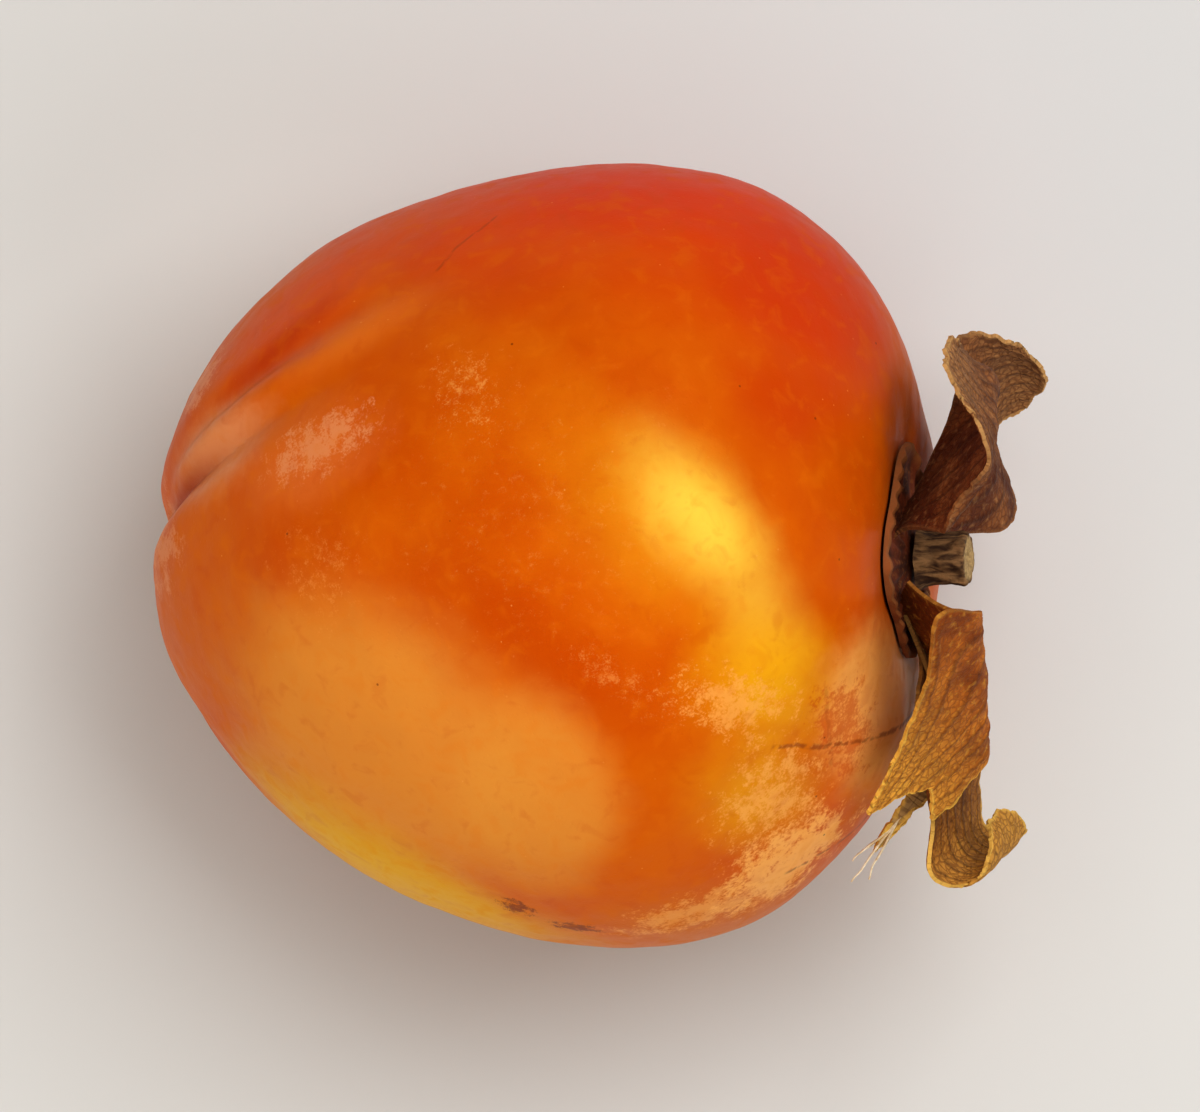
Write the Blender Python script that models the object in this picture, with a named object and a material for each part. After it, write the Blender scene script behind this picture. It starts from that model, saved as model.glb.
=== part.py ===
"""A ripe persimmon lying on its side, as picked: the fruit, its dry four-lobed calyx, the cut
stem stub and the withered style tip. Metres, +Z up, the origin at the middle of the small flat
spot that the fruit rests on, and +X along the fruit from the blossom end to the calyx."""

import math

import bmesh
import bpy
from mathutils import Matrix, Vector

# Driving dimensions, in metres and degrees. The fruit is drawn about its core, which runs from
# the blossom end at -X to the calyx at +X and passes through the middle of the widest section.
BELLY_RADIUS = 0.0411
BLOSSOM_LENGTH = 0.0500
CALYX_LENGTH = 0.0340
TIP_BLUNTNESS = 0.86
BLUNTNESS = 0.98
FLATTENING = 0.97
WIDEST_BLEND = (50, 130)

# The fruit leans a little to +Y at both of its ends.
BLOSSOM_LEAN = 0.0009
SHOULDER_LEAN = 0.0011

# The fruit has four broad lobes. They are faint at the belly and plain at the calyx end.
LOBE_AZIMUTH = -7
BELLY_LOBE = 0.0003
SHOULDER_LOBE = 0.0011

# The calyx sits in a basin, and the withered style in a dimple.
BASIN_DEPTH = 0.0062
BASIN_RADIUS = 0.0125
DIMPLE_DEPTH = 0.0013
DIMPLE_RADIUS = 0.0040

# The creases that run from the blossom end: azimuth there, how far it has swept round by a
# polar angle of 70, depth, half width, and the polar angles between which the crease is deepest
# and where it has faded out. Azimuth 0 is up and 90 is towards +Y.
CREASES = (
    (18, 17, 0.0021, 0.0025, 13, 26, 70),
    (30, 19, 0.0011, 0.0022, 30, 36, 76),
    (-66, -8, 0.0009, 0.0034, 16, 22, 58),
    (120, 12, 0.0012, 0.0028, 18, 24, 60),
    (-150, -10, 0.0013, 0.0030, 18, 26, 64),
)
PLEAT_AZIMUTH = 24
PLEAT_SWEEP = 18
PLEAT_HEIGHT = 0.0006
PLEAT_HALF_ANGLE = 6

# How the fruit lies: its calyx end tips up, and the flat spot is pressed this deep.
REST_PITCH = -12
REST_ROLL = 0
FLAT_DEPTH = 0.0008

FRUIT_RINGS = 44
FRUIT_SEGMENTS = 90

# The calyx: a saucer in the basin, four sepals and a strip torn off one of them. Nodes that
# touch keep this gap.
GAP = 0.0003
SAUCER_RADIUS = 0.0105
SAUCER_THICKNESS = 0.0030
SAUCER_EDGE = 0.0012
SAUCER_RINGS = 5
SAUCER_SEGMENTS = 32
SEPAL_ROOT = 0.0055
SEPAL_ROOT_WIDTH = 0.0036
SEPAL_ROOT_RISE = 0.0016
SEPAL_THICKNESS = 0.0007
SEPAL_ROUNDING = 0.11
SEPAL_WAVES = 11
SEPAL_ROWS = 23

# The stem stub and the style tip.
STEM_RADIUS = 0.0027
STEM_LENGTH = 0.0055
STEM_FLARE = 1.35
STEM_SEGMENTS = 20
STYLE_RADIUS = 0.0014
STYLE_LENGTH = 0.0014
STYLE_SEGMENTS = 12

SKIN_COLOUR = (0.80, 0.22, 0.010, 1)
SEPAL_COLOUR = (0.30, 0.13, 0.035, 1)
STEM_COLOUR = (0.16, 0.085, 0.035, 1)
STYLE_COLOUR = (0.03, 0.015, 0.010, 1)


class Fold:
    """A bend of a sepal about a straight line, as a thin dry leaf bends.

    The line passes through the point that is along and across from the root. At slant 0 it lies
    square across the sepal, and what is bent is the part on its far side. angle is in degrees,
    and above 0 it turns that part back towards the fruit. radius is that of the bend.
    """

    def __init__(self, along, across, slant, angle, radius):
        self.along = along
        self.across = across
        self.slant = math.radians(slant)
        self.angle = math.radians(angle)
        self.radius = radius


class Sepal:
    """One dry sepal: its flat outline, and the folds that make its shape, outermost first.

    azimuth places its root round the core, lean turns it sideways in its own plane and lift is
    its slope out of the basin. widths are its half widths towards smaller and larger azimuths,
    and tip_widths those at its end. A notch is (side, share of the length, depth, half span as a
    share of the length), and one of a depth below 0 is a bulge. The arch is a bite out of its
    end: (middle across, depth, half span across). twist is how far it has turned about its own
    middle line by its end. The mesh has this many strips on each side of the middle.
    """

    def __init__(self, azimuth, lean, lift, length, widths, tip_widths, ripple, notches, folds,
                 arch=(0, 0, 1), twist=0, strips=6):
        self.azimuth = azimuth
        self.lean = math.radians(lean)
        self.lift = math.radians(lift)
        self.length = length
        self.widths = widths
        self.tip_widths = tip_widths
        self.ripple = ripple
        self.notches = notches
        self.folds = folds
        self.arch = arch
        self.twist = math.radians(twist)
        self.strips = strips


SEPALS = (
    Sepal(azimuth=-44, lean=-28, lift=53, length=0.0329, widths=(0.0098, 0.0118),
          tip_widths=(0.0091, 0.0032), ripple=0.0001, notches=((1, 0.41, -0.0088, 0.136),),
          folds=(Fold(0.0119, 0, -18.8, 93, 0.0025),), arch=(-0.42, 0.0070, 0.58), strips=8),
    Sepal(azimuth=-126, lean=22, lift=29, length=0.0395, widths=(0.0085, 0.0100),
          tip_widths=(0.0055, 0.0060), ripple=0.0006, notches=((1, 0.60, 0.0024, 0.07),),
          folds=(Fold(0.0265, 0, 0, -260, 0.0031), Fold(0, 0.0060, -90, -45, 0.0040),
                 Fold(0.0050, 0, 0, 28, 0.0060))),
    Sepal(azimuth=50, lean=4, lift=46, length=0.0280, widths=(0.0110, 0.0120),
          tip_widths=(0.0055, 0.0055), ripple=0.0007, notches=((1, 0.70, 0.0018, 0.07),),
          folds=(Fold(0, 0.0070, -90, 100, 0.0030), Fold(0, -0.0080, 90, 120, 0.0028),
                 Fold(0.0140, 0, -10, 70, 0.0040))),
    Sepal(azimuth=142, lean=-8, lift=36, length=0.0290, widths=(0.0120, 0.0110),
          tip_widths=(0.0065, 0.0065), ripple=0.0006, notches=((-1, 0.55, 0.0020, 0.07),),
          folds=(Fold(0.0190, 0, 14, -170, 0.0040), Fold(0.0080, 0, 0, 50, 0.0060))),
    Sepal(azimuth=-98, lean=0, lift=23, length=0.0310, widths=(0.0017, 0.0019),
          tip_widths=(0.0008, 0.0008), ripple=0.0002, notches=(),
          folds=(Fold(0.0070, 0, 0, 62, 0.0120),), twist=-70, strips=1),
)


def ease(value, start=0.0, end=1.0):
    """Rises smoothly from 0 at start to 1 at end."""
    share = min(max((value - start) / (end - start), 0.0), 1.0)
    return share * share * (3 - 2 * share)


def outward(azimuth):
    """The unit vector across the core at this azimuth, in degrees."""
    angle = math.radians(azimuth)
    return Vector((0, math.sin(angle), math.cos(angle)))


def sideways(azimuth):
    """The unit vector round the core at this azimuth, towards larger azimuths."""
    angle = math.radians(azimuth)
    return Vector((0, math.cos(angle), -math.sin(angle)))


def turn_between(azimuth, other):
    """The angle from other to azimuth, from -180 to 180 degrees."""
    return (azimuth - other + 180) % 360 - 180


def crease_relief(polar, azimuth, radius):
    """How far the creases and the pleat between two of them move the skin at a point."""
    relief = 0.0
    swept = (polar / 70) ** 2
    for start, sweep, depth, half_width, deepest, held, faded in CREASES:
        along = ease(polar, 0, deepest) * (1 - ease(polar, held, faded))
        turn = turn_between(azimuth, start + sweep * swept)
        across = math.radians(turn) * radius / half_width
        relief -= depth * along * (1 - 0.35 * across**2) * math.exp(-(across**2) / 1.6)
    along = ease(polar, 8, 30) * (1 - ease(polar, 40, 75))
    across = turn_between(azimuth, PLEAT_AZIMUTH + PLEAT_SWEEP * swept) / PLEAT_HALF_ANGLE
    return relief + PLEAT_HEIGHT * along * math.exp(-(across**2))


def skin_point(polar, azimuth):
    """A point of the skin in the fruit's own axes. polar is 0 at the blossom end, 180 at the calyx."""
    angle = math.radians(polar)
    blend = ease(polar, *WIDEST_BLEND)
    half_length = BLOSSOM_LENGTH + (CALYX_LENGTH - BLOSSOM_LENGTH) * blend
    bluntness = TIP_BLUNTNESS + (BLUNTNESS - TIP_BLUNTNESS) * ease(polar, 5, 45)
    radius = BELLY_RADIUS * abs(math.sin(angle)) ** bluntness
    shoulder = ease(polar, 95, 140) * (1 - ease(polar, 160, 180))
    wave = math.cos(math.radians(4 * (azimuth - LOBE_AZIMUTH)))
    lobe = wave * (BELLY_LOBE * math.sin(angle) + SHOULDER_LOBE * shoulder)
    relief = crease_relief(polar, azimuth, radius)
    basin = BASIN_DEPTH * math.exp(-((radius / BASIN_RADIUS) ** 2)) * ease(polar, 90, 120)
    dimple = DIMPLE_DEPTH * math.exp(-((radius / DIMPLE_RADIUS) ** 2)) * ease(polar, 90, 60)
    along = -half_length * math.cos(angle) - basin + dimple - relief * math.cos(angle)
    across = radius + lobe + relief * math.sin(angle)
    lean = SHOULDER_LEAN * shoulder + BLOSSOM_LEAN * ease(polar, 10, 35) * ease(polar, 80, 40)
    place = outward(azimuth) * across
    place.z *= FLATTENING
    return place + Vector((along, lean, 0))


def material(name, colour, roughness):
    """A plain Principled material."""
    made = bpy.data.materials.new(name)
    made.use_nodes = True
    shader = made.node_tree.nodes["Principled BSDF"]
    shader.inputs["Base Color"].default_value = colour
    shader.inputs["Roughness"].default_value = roughness
    made.diffuse_color = colour
    return made


def place_mesh(name, mesh_edit, finish, core):
    """Makes an object of the edited mesh, shades it smooth and hangs it on the core."""
    bmesh.ops.recalc_face_normals(mesh_edit, faces=mesh_edit.faces)
    mesh = bpy.data.meshes.new(name)
    mesh_edit.to_mesh(mesh)
    mesh_edit.free()
    mesh.shade_smooth()
    mesh.set_sharp_from_angle(angle=math.radians(50))
    mesh.materials.append(finish)
    made = bpy.data.objects.new(name, mesh)
    bpy.context.scene.collection.objects.link(made)
    made.parent = core
    return made


def skin_rings(mesh_edit, rings, start, end):
    """Joins closed rings of points by quads, and each end ring to its pole by triangles."""
    made = [[mesh_edit.verts.new(point) for point in ring] for ring in rings]
    for ring, following in zip(made, made[1:]):
        for i in range(len(ring)):
            j = (i + 1) % len(ring)
            mesh_edit.faces.new((ring[i], ring[j], following[j], following[i]))
    for pole, ring in ((start, made[0]), (end, made[-1])):
        tip = mesh_edit.verts.new(pole)
        for i in range(len(ring)):
            mesh_edit.faces.new((tip, ring[i], ring[(i + 1) % len(ring)]))


def azimuths_round(segments):
    """Evenly spaced azimuths once round the core, in degrees."""
    return [360 * i / segments for i in range(segments)]


def make_fruit(core, finish):
    """The fruit, skin and flesh as one body, with its creases, lobes and basin."""
    polars = [180 * (i + 1) / (FRUIT_RINGS + 1) for i in range(FRUIT_RINGS)]
    azimuths = azimuths_round(FRUIT_SEGMENTS)
    rings = [[skin_point(polar, azimuth) for azimuth in azimuths] for polar in polars]
    mesh_edit = bmesh.new()
    skin_rings(mesh_edit, rings, skin_point(0, 0), skin_point(180, 0))
    return place_mesh("fruit", mesh_edit, finish, core)


def basin_point(radius, azimuth):
    """The point of the skin in the basin, at this distance from the core."""
    polar = 180 - math.degrees(math.asin((radius / BELLY_RADIUS) ** (1 / BLUNTNESS)))
    return skin_point(polar, azimuth)


def make_saucer(core, finish):
    """The calyx's middle, which follows the floor of the basin."""
    radii = [SAUCER_RADIUS * (i + 1) / SAUCER_RINGS for i in range(SAUCER_RINGS)]
    azimuths = azimuths_round(SAUCER_SEGMENTS)
    under, over = [], []
    for radius in radii:
        thickness = SAUCER_EDGE + (SAUCER_THICKNESS - SAUCER_EDGE) * ease(radius, SAUCER_RADIUS, 0)
        floor = [basin_point(radius, azimuth) + Vector((GAP, 0, 0)) for azimuth in azimuths]
        under.append(floor)
        over.append([point + Vector((thickness, 0, 0)) for point in floor])
    middle = skin_point(180, 0) + Vector((GAP, 0, 0))
    mesh_edit = bmesh.new()
    skin_rings(mesh_edit, under + over[::-1], middle, middle + Vector((SAUCER_THICKNESS, 0, 0)))
    return place_mesh("calyx", mesh_edit, finish, core)


def sepal_half_width(sepal, side, share):
    """The blade's half width on one side, at a share of its length."""
    full = sepal.widths[0 if side < 0 else 1]
    tip = sepal.tip_widths[0 if side < 0 else 1]
    wide = SEPAL_ROOT_WIDTH + (full - SEPAL_ROOT_WIDTH) * ease(share, 0.0, 0.45)
    wide += (tip - full) * ease(share, 0.5, 1.05)
    for notch_side, centre, depth, span in sepal.notches:
        if notch_side == side:
            wide -= depth * math.exp(-(((share - centre) / span) ** 2))
    return wide


def folded(point, fold):
    """A point of the sheet after a fold. Its coordinates are along, across and off the sheet."""
    forward = Vector((math.cos(fold.slant), -math.sin(fold.slant), 0))
    line = Vector((math.sin(fold.slant), math.cos(fold.slant), 0))
    offset = Vector((point.x - fold.along, point.y - fold.across, 0))
    beyond = offset.dot(forward)
    if beyond <= 0:
        return point
    way = -1 if fold.angle > 0 else 1
    turned = min(beyond / fold.radius, abs(fold.angle))
    rest = beyond - fold.radius * turned
    inner = fold.radius - way * point.z
    moved = inner * math.sin(turned) + rest * math.cos(turned)
    height = way * (fold.radius - inner * math.cos(turned) + rest * math.sin(turned))
    place = Vector((fold.along, fold.across, 0)) + forward * moved + line * offset.dot(line)
    return place + Vector((0, 0, height))


def sepal_surface(sepal):
    """The rows of points of the blade's middle surface, from its root to its tip."""
    away = outward(sepal.azimuth)
    core_way = Vector((1, 0, 0))
    along = away * math.cos(sepal.lift) + core_way * math.sin(sepal.lift)
    off = core_way * math.cos(sepal.lift) - away * math.sin(sepal.lift)
    across = sideways(sepal.azimuth)
    floor = basin_point(SEPAL_ROOT, sepal.azimuth).x + GAP
    root = away * SEPAL_ROOT + core_way * (floor + SEPAL_ROOT_RISE)
    lean = Matrix.Rotation(sepal.lean, 3, "Z")
    rows = []
    for i in range(SEPAL_ROWS):
        share = i / (SEPAL_ROWS - 1)
        rows.append([])
        for j in range(-sepal.strips, sepal.strips + 1):
            side = -1 if j < 0 else 1
            out = j / sepal.strips
            wave = sepal.ripple * math.sin(SEPAL_WAVES * share + 2 * side) * out**2
            reach = sepal.length * (share - SEPAL_ROUNDING * out**2 * share**4)
            middle, depth, span = sepal.arch
            reach -= depth * math.exp(-(((out - middle) / span) ** 2)) * share**2
            point = Vector((reach, out * sepal_half_width(sepal, side, share), wave))
            turn = sepal.twist * ease(share, 0.15, 0.7)
            point = Matrix.Rotation(turn, 3, "X") @ point
            for fold in sepal.folds:
                point = folded(point, fold)
            point = lean @ point
            rows[-1].append(root + along * point.x + across * point.y + off * point.z)
    return rows


def make_sepal(sepal, core, finish):
    """One blade of even thickness, split into triangles alike on both faces."""
    rows = sepal_surface(sepal)
    last_row, last_column = SEPAL_ROWS - 1, 2 * sepal.strips
    mesh_edit = bmesh.new()
    faces = ([], [])
    for i, row in enumerate(rows):
        for side, made in zip((0.5, -0.5), faces):
            made.append([])
            for j, point in enumerate(row):
                along = rows[min(i + 1, last_row)][j] - rows[max(i - 1, 0)][j]
                across = row[min(j + 1, last_column)] - row[max(j - 1, 0)]
                normal = along.cross(across).normalized()
                made[-1].append(mesh_edit.verts.new(point + normal * side * SEPAL_THICKNESS))
    for i in range(last_row):
        for j in range(last_column):
            for made in faces:
                a, b = made[i][j], made[i + 1][j]
                c, d = made[i + 1][j + 1], made[i][j + 1]
                mesh_edit.faces.new((a, b, c))
                mesh_edit.faces.new((a, c, d))
    border = [(i, 0) for i in range(last_row)] + [(last_row, j) for j in range(last_column)]
    border += [(i, last_column) for i in range(last_row, 0, -1)]
    border += [(0, j) for j in range(last_column, 0, -1)]
    front, back = faces
    for (i, j), (k, m) in zip(border, border[1:] + border[:1]):
        mesh_edit.faces.new((front[i][j], front[k][m], back[k][m]))
        mesh_edit.faces.new((front[i][j], back[k][m], back[i][j]))
    return place_mesh("sepal", mesh_edit, finish, core)


def apply_modifiers(piece):
    """Replaces the piece's mesh by what its modifiers make of it."""
    bpy.context.view_layer.update()
    graph = bpy.context.evaluated_depsgraph_get()
    finished = bpy.data.meshes.new_from_object(piece.evaluated_get(graph))
    piece.modifiers.clear()
    piece.data = finished


def make_calyx(core, finish):
    """The calyx: the saucer with its sepals grown from it, as one body."""
    saucer = make_saucer(core, finish)
    blades = bpy.data.collections.new("blades")
    for sepal in SEPALS:
        blade = make_sepal(sepal, core, finish)
        bpy.context.scene.collection.objects.unlink(blade)
        blades.objects.link(blade)
    bpy.context.scene.collection.children.link(blades)
    join = saucer.modifiers.new("grown together", "BOOLEAN")
    join.operation = "UNION"
    join.operand_type = "COLLECTION"
    join.collection = blades
    join.solver = "EXACT"
    apply_modifiers(saucer)
    for blade in list(blades.objects):
        bpy.data.objects.remove(blade)
    bpy.data.collections.remove(blades)
    return saucer


def make_stem(core, finish):
    """The woody stub of the stem, flared where it meets the calyx and cut off straight."""
    base = skin_point(180, 0).x + GAP + SAUCER_THICKNESS + GAP
    stations = ((0.0, STEM_FLARE), (0.18, 1.08), (0.45, 1.0), (0.80, 1.03), (0.95, 1.06), (1.0, 0.96))
    rings = [[outward(azimuth) * STEM_RADIUS * wide + Vector((base + STEM_LENGTH * share, 0, 0))
              for azimuth in azimuths_round(STEM_SEGMENTS)] for share, wide in stations]
    mesh_edit = bmesh.new()
    skin_rings(mesh_edit, rings, Vector((base, 0, 0)), Vector((base + STEM_LENGTH, 0, 0)))
    return place_mesh("stem_stub", mesh_edit, finish, core)


def make_style_tip(core, finish):
    """The withered point of the flower's style, at the blossom end."""
    base = skin_point(0, 0).x - GAP
    stations = ((0.0, 1.0), (0.25, 0.8), (0.6, 0.5), (0.9, 0.3))
    rings = [[outward(azimuth) * STYLE_RADIUS * wide + Vector((base - STYLE_LENGTH * share, 0, 0))
              for azimuth in azimuths_round(STYLE_SEGMENTS)] for share, wide in stations]
    mesh_edit = bmesh.new()
    skin_rings(mesh_edit, rings, Vector((base, 0, 0)), Vector((base - STYLE_LENGTH, 0, 0)))
    return place_mesh("style_tip", mesh_edit, finish, core)


def lay_down(core, fruit):
    """Turns the core to how the fruit lies, and sets its lowest point on the origin's plane."""
    core.rotation_euler = (math.radians(REST_ROLL), math.radians(REST_PITCH), 0)
    turn = core.rotation_euler.to_matrix()
    places = [turn @ corner.co for corner in fruit.data.vertices]
    surface = min(place.z for place in places) + FLAT_DEPTH
    pressed = [place for place in places if place.z < surface]
    middle = sum(pressed, Vector()) / len(pressed)
    core.location = (-middle.x, -middle.y, -surface)


def press_flat_spot(fruit):
    """Takes off what would be under the surface that the fruit lies on."""
    reach = 4 * BELLY_RADIUS
    bpy.ops.mesh.primitive_cube_add(size=1, location=(0, 0, -reach / 2))
    surface = bpy.context.object
    surface.name = "surface_cutter"
    surface.scale = (reach, reach, reach)
    surface.hide_render = True
    surface.display_type = "WIRE"
    cut = fruit.modifiers.new("flat spot", "BOOLEAN")
    cut.operation = "DIFFERENCE"
    cut.object = surface
    cut.solver = "EXACT"


def main():
    """Clears the scene and builds the persimmon."""
    for old in list(bpy.data.objects):
        bpy.data.objects.remove(old)
    core = bpy.data.objects.new("core", None)
    bpy.context.scene.collection.objects.link(core)
    fruit = make_fruit(core, material("skin", SKIN_COLOUR, 0.25))
    make_calyx(core, material("dry sepal", SEPAL_COLOUR, 0.75))
    make_stem(core, material("woody stem", STEM_COLOUR, 0.85))
    make_style_tip(core, material("withered style", STYLE_COLOUR, 0.8))
    lay_down(core, fruit)
    press_flat_spot(fruit)


main()
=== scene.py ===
"""A ripe persimmon lying on its side: skin, dry calyx, stem stub and style tip, with their looks.

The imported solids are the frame. Each piece here repeats the form of the solid that it stands for,
from the same named sizes, at a finer mesh and with its own finish. Lengths are in metres and
angles in degrees unless a name says otherwise.
"""

import logging
import math
from collections.abc import Iterator, Mapping, Sequence
from contextlib import contextmanager
from dataclasses import dataclass, field
from enum import Enum
from typing import Any

import bmesh
import bpy
import numpy as np
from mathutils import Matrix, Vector, noise


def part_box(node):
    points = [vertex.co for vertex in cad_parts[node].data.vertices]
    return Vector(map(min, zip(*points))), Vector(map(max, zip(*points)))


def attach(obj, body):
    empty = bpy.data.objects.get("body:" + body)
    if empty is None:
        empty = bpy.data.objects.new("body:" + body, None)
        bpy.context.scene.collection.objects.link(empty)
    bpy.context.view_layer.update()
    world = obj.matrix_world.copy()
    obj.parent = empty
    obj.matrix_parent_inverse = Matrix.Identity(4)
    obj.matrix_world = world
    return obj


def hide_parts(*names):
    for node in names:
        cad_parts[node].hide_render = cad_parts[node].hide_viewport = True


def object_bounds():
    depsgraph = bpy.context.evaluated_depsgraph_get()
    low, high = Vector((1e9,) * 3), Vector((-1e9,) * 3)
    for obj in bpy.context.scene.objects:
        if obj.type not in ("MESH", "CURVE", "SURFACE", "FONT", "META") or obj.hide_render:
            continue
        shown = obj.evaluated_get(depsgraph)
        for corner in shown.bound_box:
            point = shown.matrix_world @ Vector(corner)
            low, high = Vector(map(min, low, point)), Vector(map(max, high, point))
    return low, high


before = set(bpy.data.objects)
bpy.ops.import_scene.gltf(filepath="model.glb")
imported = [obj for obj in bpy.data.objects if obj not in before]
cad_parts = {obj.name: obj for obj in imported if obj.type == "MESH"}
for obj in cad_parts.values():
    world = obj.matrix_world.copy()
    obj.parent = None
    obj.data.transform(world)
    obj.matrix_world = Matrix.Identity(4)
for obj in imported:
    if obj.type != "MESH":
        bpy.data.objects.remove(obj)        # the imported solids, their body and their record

CAD_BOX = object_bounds()
BODY = "root"
GAP = 0.0003
MM = 0.001
LOG = logging.getLogger("persimmon")

Array = np.ndarray
Colour = tuple[float, float, float, float]


def srgb(red: float, green: float, blue: float) -> Colour:
    """A linear colour from screen values of 0 to 255.

    Args:
        red: The red value.
        green: The green value.
        blue: The blue value.

    Returns:
        The linear colour with an alpha of 1.
    """
    parts = [value / 255 for value in (red, green, blue)]
    linear = [p / 12.92 if p <= 0.04045 else ((p + 0.055) / 1.055) ** 2.4 for p in parts]
    return (linear[0], linear[1], linear[2], 1.0)


def ease(value: Array | float, start: float = 0.0, end: float = 1.0) -> Array:
    """Rises smoothly from 0 at start to 1 at end.

    Args:
        value: The value or values to ease.
        start: Where the rise begins.
        end: Where it ends, which may be below start.

    Returns:
        The eased share, from 0 to 1.
    """
    share = np.clip((np.asarray(value, float) - start) / (end - start), 0.0, 1.0)
    return share * share * (3 - 2 * share)


def outward(azimuth: Array | float) -> Array:
    """The unit vectors across the core at these azimuths: 0 is up and 90 is towards +Y."""
    angle = np.radians(np.asarray(azimuth, float))
    return np.stack([np.zeros_like(angle), np.sin(angle), np.cos(angle)], axis=-1)


def sideways(azimuth: float) -> Array:
    """The unit vector round the core at this azimuth, towards larger azimuths."""
    angle = math.radians(azimuth)
    return np.array([0.0, math.cos(angle), -math.sin(angle)])


def turn_between(azimuth: Array, other: Array) -> Array:
    """The angles from other to azimuth, from -180 to 180 degrees."""
    return (azimuth - other + 180) % 360 - 180


def rough(points: Array, per_metre: float, octaves: int = 3, seed: float = 0.0) -> Array:
    """Fractal noise at points, about -1 to 1.

    Args:
        points: Places, one a row, in metres.
        per_metre: How many bumps there are in a metre.
        octaves: How many finer layers are added.
        seed: An offset that makes one pattern differ from another.

    Returns:
        One value a point.
    """
    start = Vector((seed, 2.7 * seed, -1.3 * seed))
    values = [noise.fractal(Vector(p) * per_metre + start, 1.0, 2.0, octaves) for p in points]
    return np.array(values)


def deselect() -> None:
    """Leaves nothing selected, so that the next operator acts on the new piece alone."""
    bpy.ops.object.select_all(action="DESELECT")


def points_of(piece: bpy.types.Object) -> Array:
    """The piece's vertices, one a row."""
    flat = np.empty(len(piece.data.vertices) * 3)
    piece.data.vertices.foreach_get("co", flat)
    return flat.reshape(-1, 3)


def set_points(piece: bpy.types.Object, points: Array) -> None:
    """Moves the piece's vertices to points, one a row."""
    piece.data.vertices.foreach_set("co", np.ascontiguousarray(points, np.float32).ravel())
    piece.data.update()


def set_attribute(piece: bpy.types.Object, name: str, values: Array) -> None:
    """Stores a number or a vector for each vertex, which a finish may read.

    Args:
        piece: The mesh object.
        name: The attribute's name.
        values: One number, or one row of three, a vertex.
    """
    kind, key = ("FLOAT", "value") if values.ndim == 1 else ("FLOAT_VECTOR", "vector")
    made = piece.data.attributes.new(name, kind, "POINT")
    made.data.foreach_set(key, np.ascontiguousarray(values, np.float32).ravel())


@contextmanager
def editing(piece: bpy.types.Object, select: bool = True) -> Iterator[None]:
    """Opens the piece in edit mode for the operators inside the block.

    Args:
        piece: The mesh object, which becomes the active one.
        select: Whether all of the mesh is selected at the start.
    """
    bpy.context.view_layer.objects.active = piece
    piece.select_set(True)
    bpy.ops.object.mode_set(mode="EDIT")
    if select:
        bpy.ops.mesh.select_all(action="SELECT")
    yield
    bpy.ops.object.mode_set(mode="OBJECT")


def select_faces(piece: bpy.types.Object, chosen: Array) -> None:
    """Selects only the faces where chosen is true, in object mode.

    Args:
        piece: The mesh object.
        chosen: One true or false a face.
    """
    mesh = piece.data
    mesh.vertices.foreach_set("select", np.zeros(len(mesh.vertices), bool))
    mesh.edges.foreach_set("select", np.zeros(len(mesh.edges), bool))
    mesh.polygons.foreach_set("select", chosen.astype(bool))
    mesh.update()


def finish_modifier(piece: bpy.types.Object, kind: str, **settings: Any) -> None:
    """Adds a modifier and applies it at once.

    Args:
        piece: The mesh object.
        kind: The modifier's type.
        **settings: Its properties.
    """
    deselect()
    bpy.context.view_layer.objects.active = piece
    piece.select_set(True)
    made = piece.modifiers.new(kind.lower(), kind)
    for name, value in settings.items():
        setattr(made, name, value)
    bpy.ops.object.modifier_apply(modifier=made.name)


def smooth(piece: bpy.types.Object, angle: float = 40.0) -> None:
    """Shades the piece smooth, with edges over this angle sharp."""
    deselect()
    bpy.context.view_layer.objects.active = piece
    piece.select_set(True)
    bpy.ops.object.shade_smooth_by_angle(angle=math.radians(angle))


def mount(piece: bpy.types.Object, slot: str, *nodes: str) -> bpy.types.Object:
    """Makes a finished piece ride on the body and stand for its solids.

    Args:
        piece: The finished object, at the origin.
        slot: The record's material slot, which is only named in the log.
        *nodes: The solids that it stands for.

    Returns:
        The same object.
    """
    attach(piece, BODY)
    if nodes:
        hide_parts(*nodes)
    faces = sum(len(p.vertices) - 2 for p in piece.data.polygons)
    LOG.info("%s: %d triangles, %s", piece.name, faces, slot)
    return piece


class Blend(Enum):
    """How one colour is laid over another."""

    COVER = "MIX"
    DARKEN = "MULTIPLY"
    LIGHTEN = "SCREEN"


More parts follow.
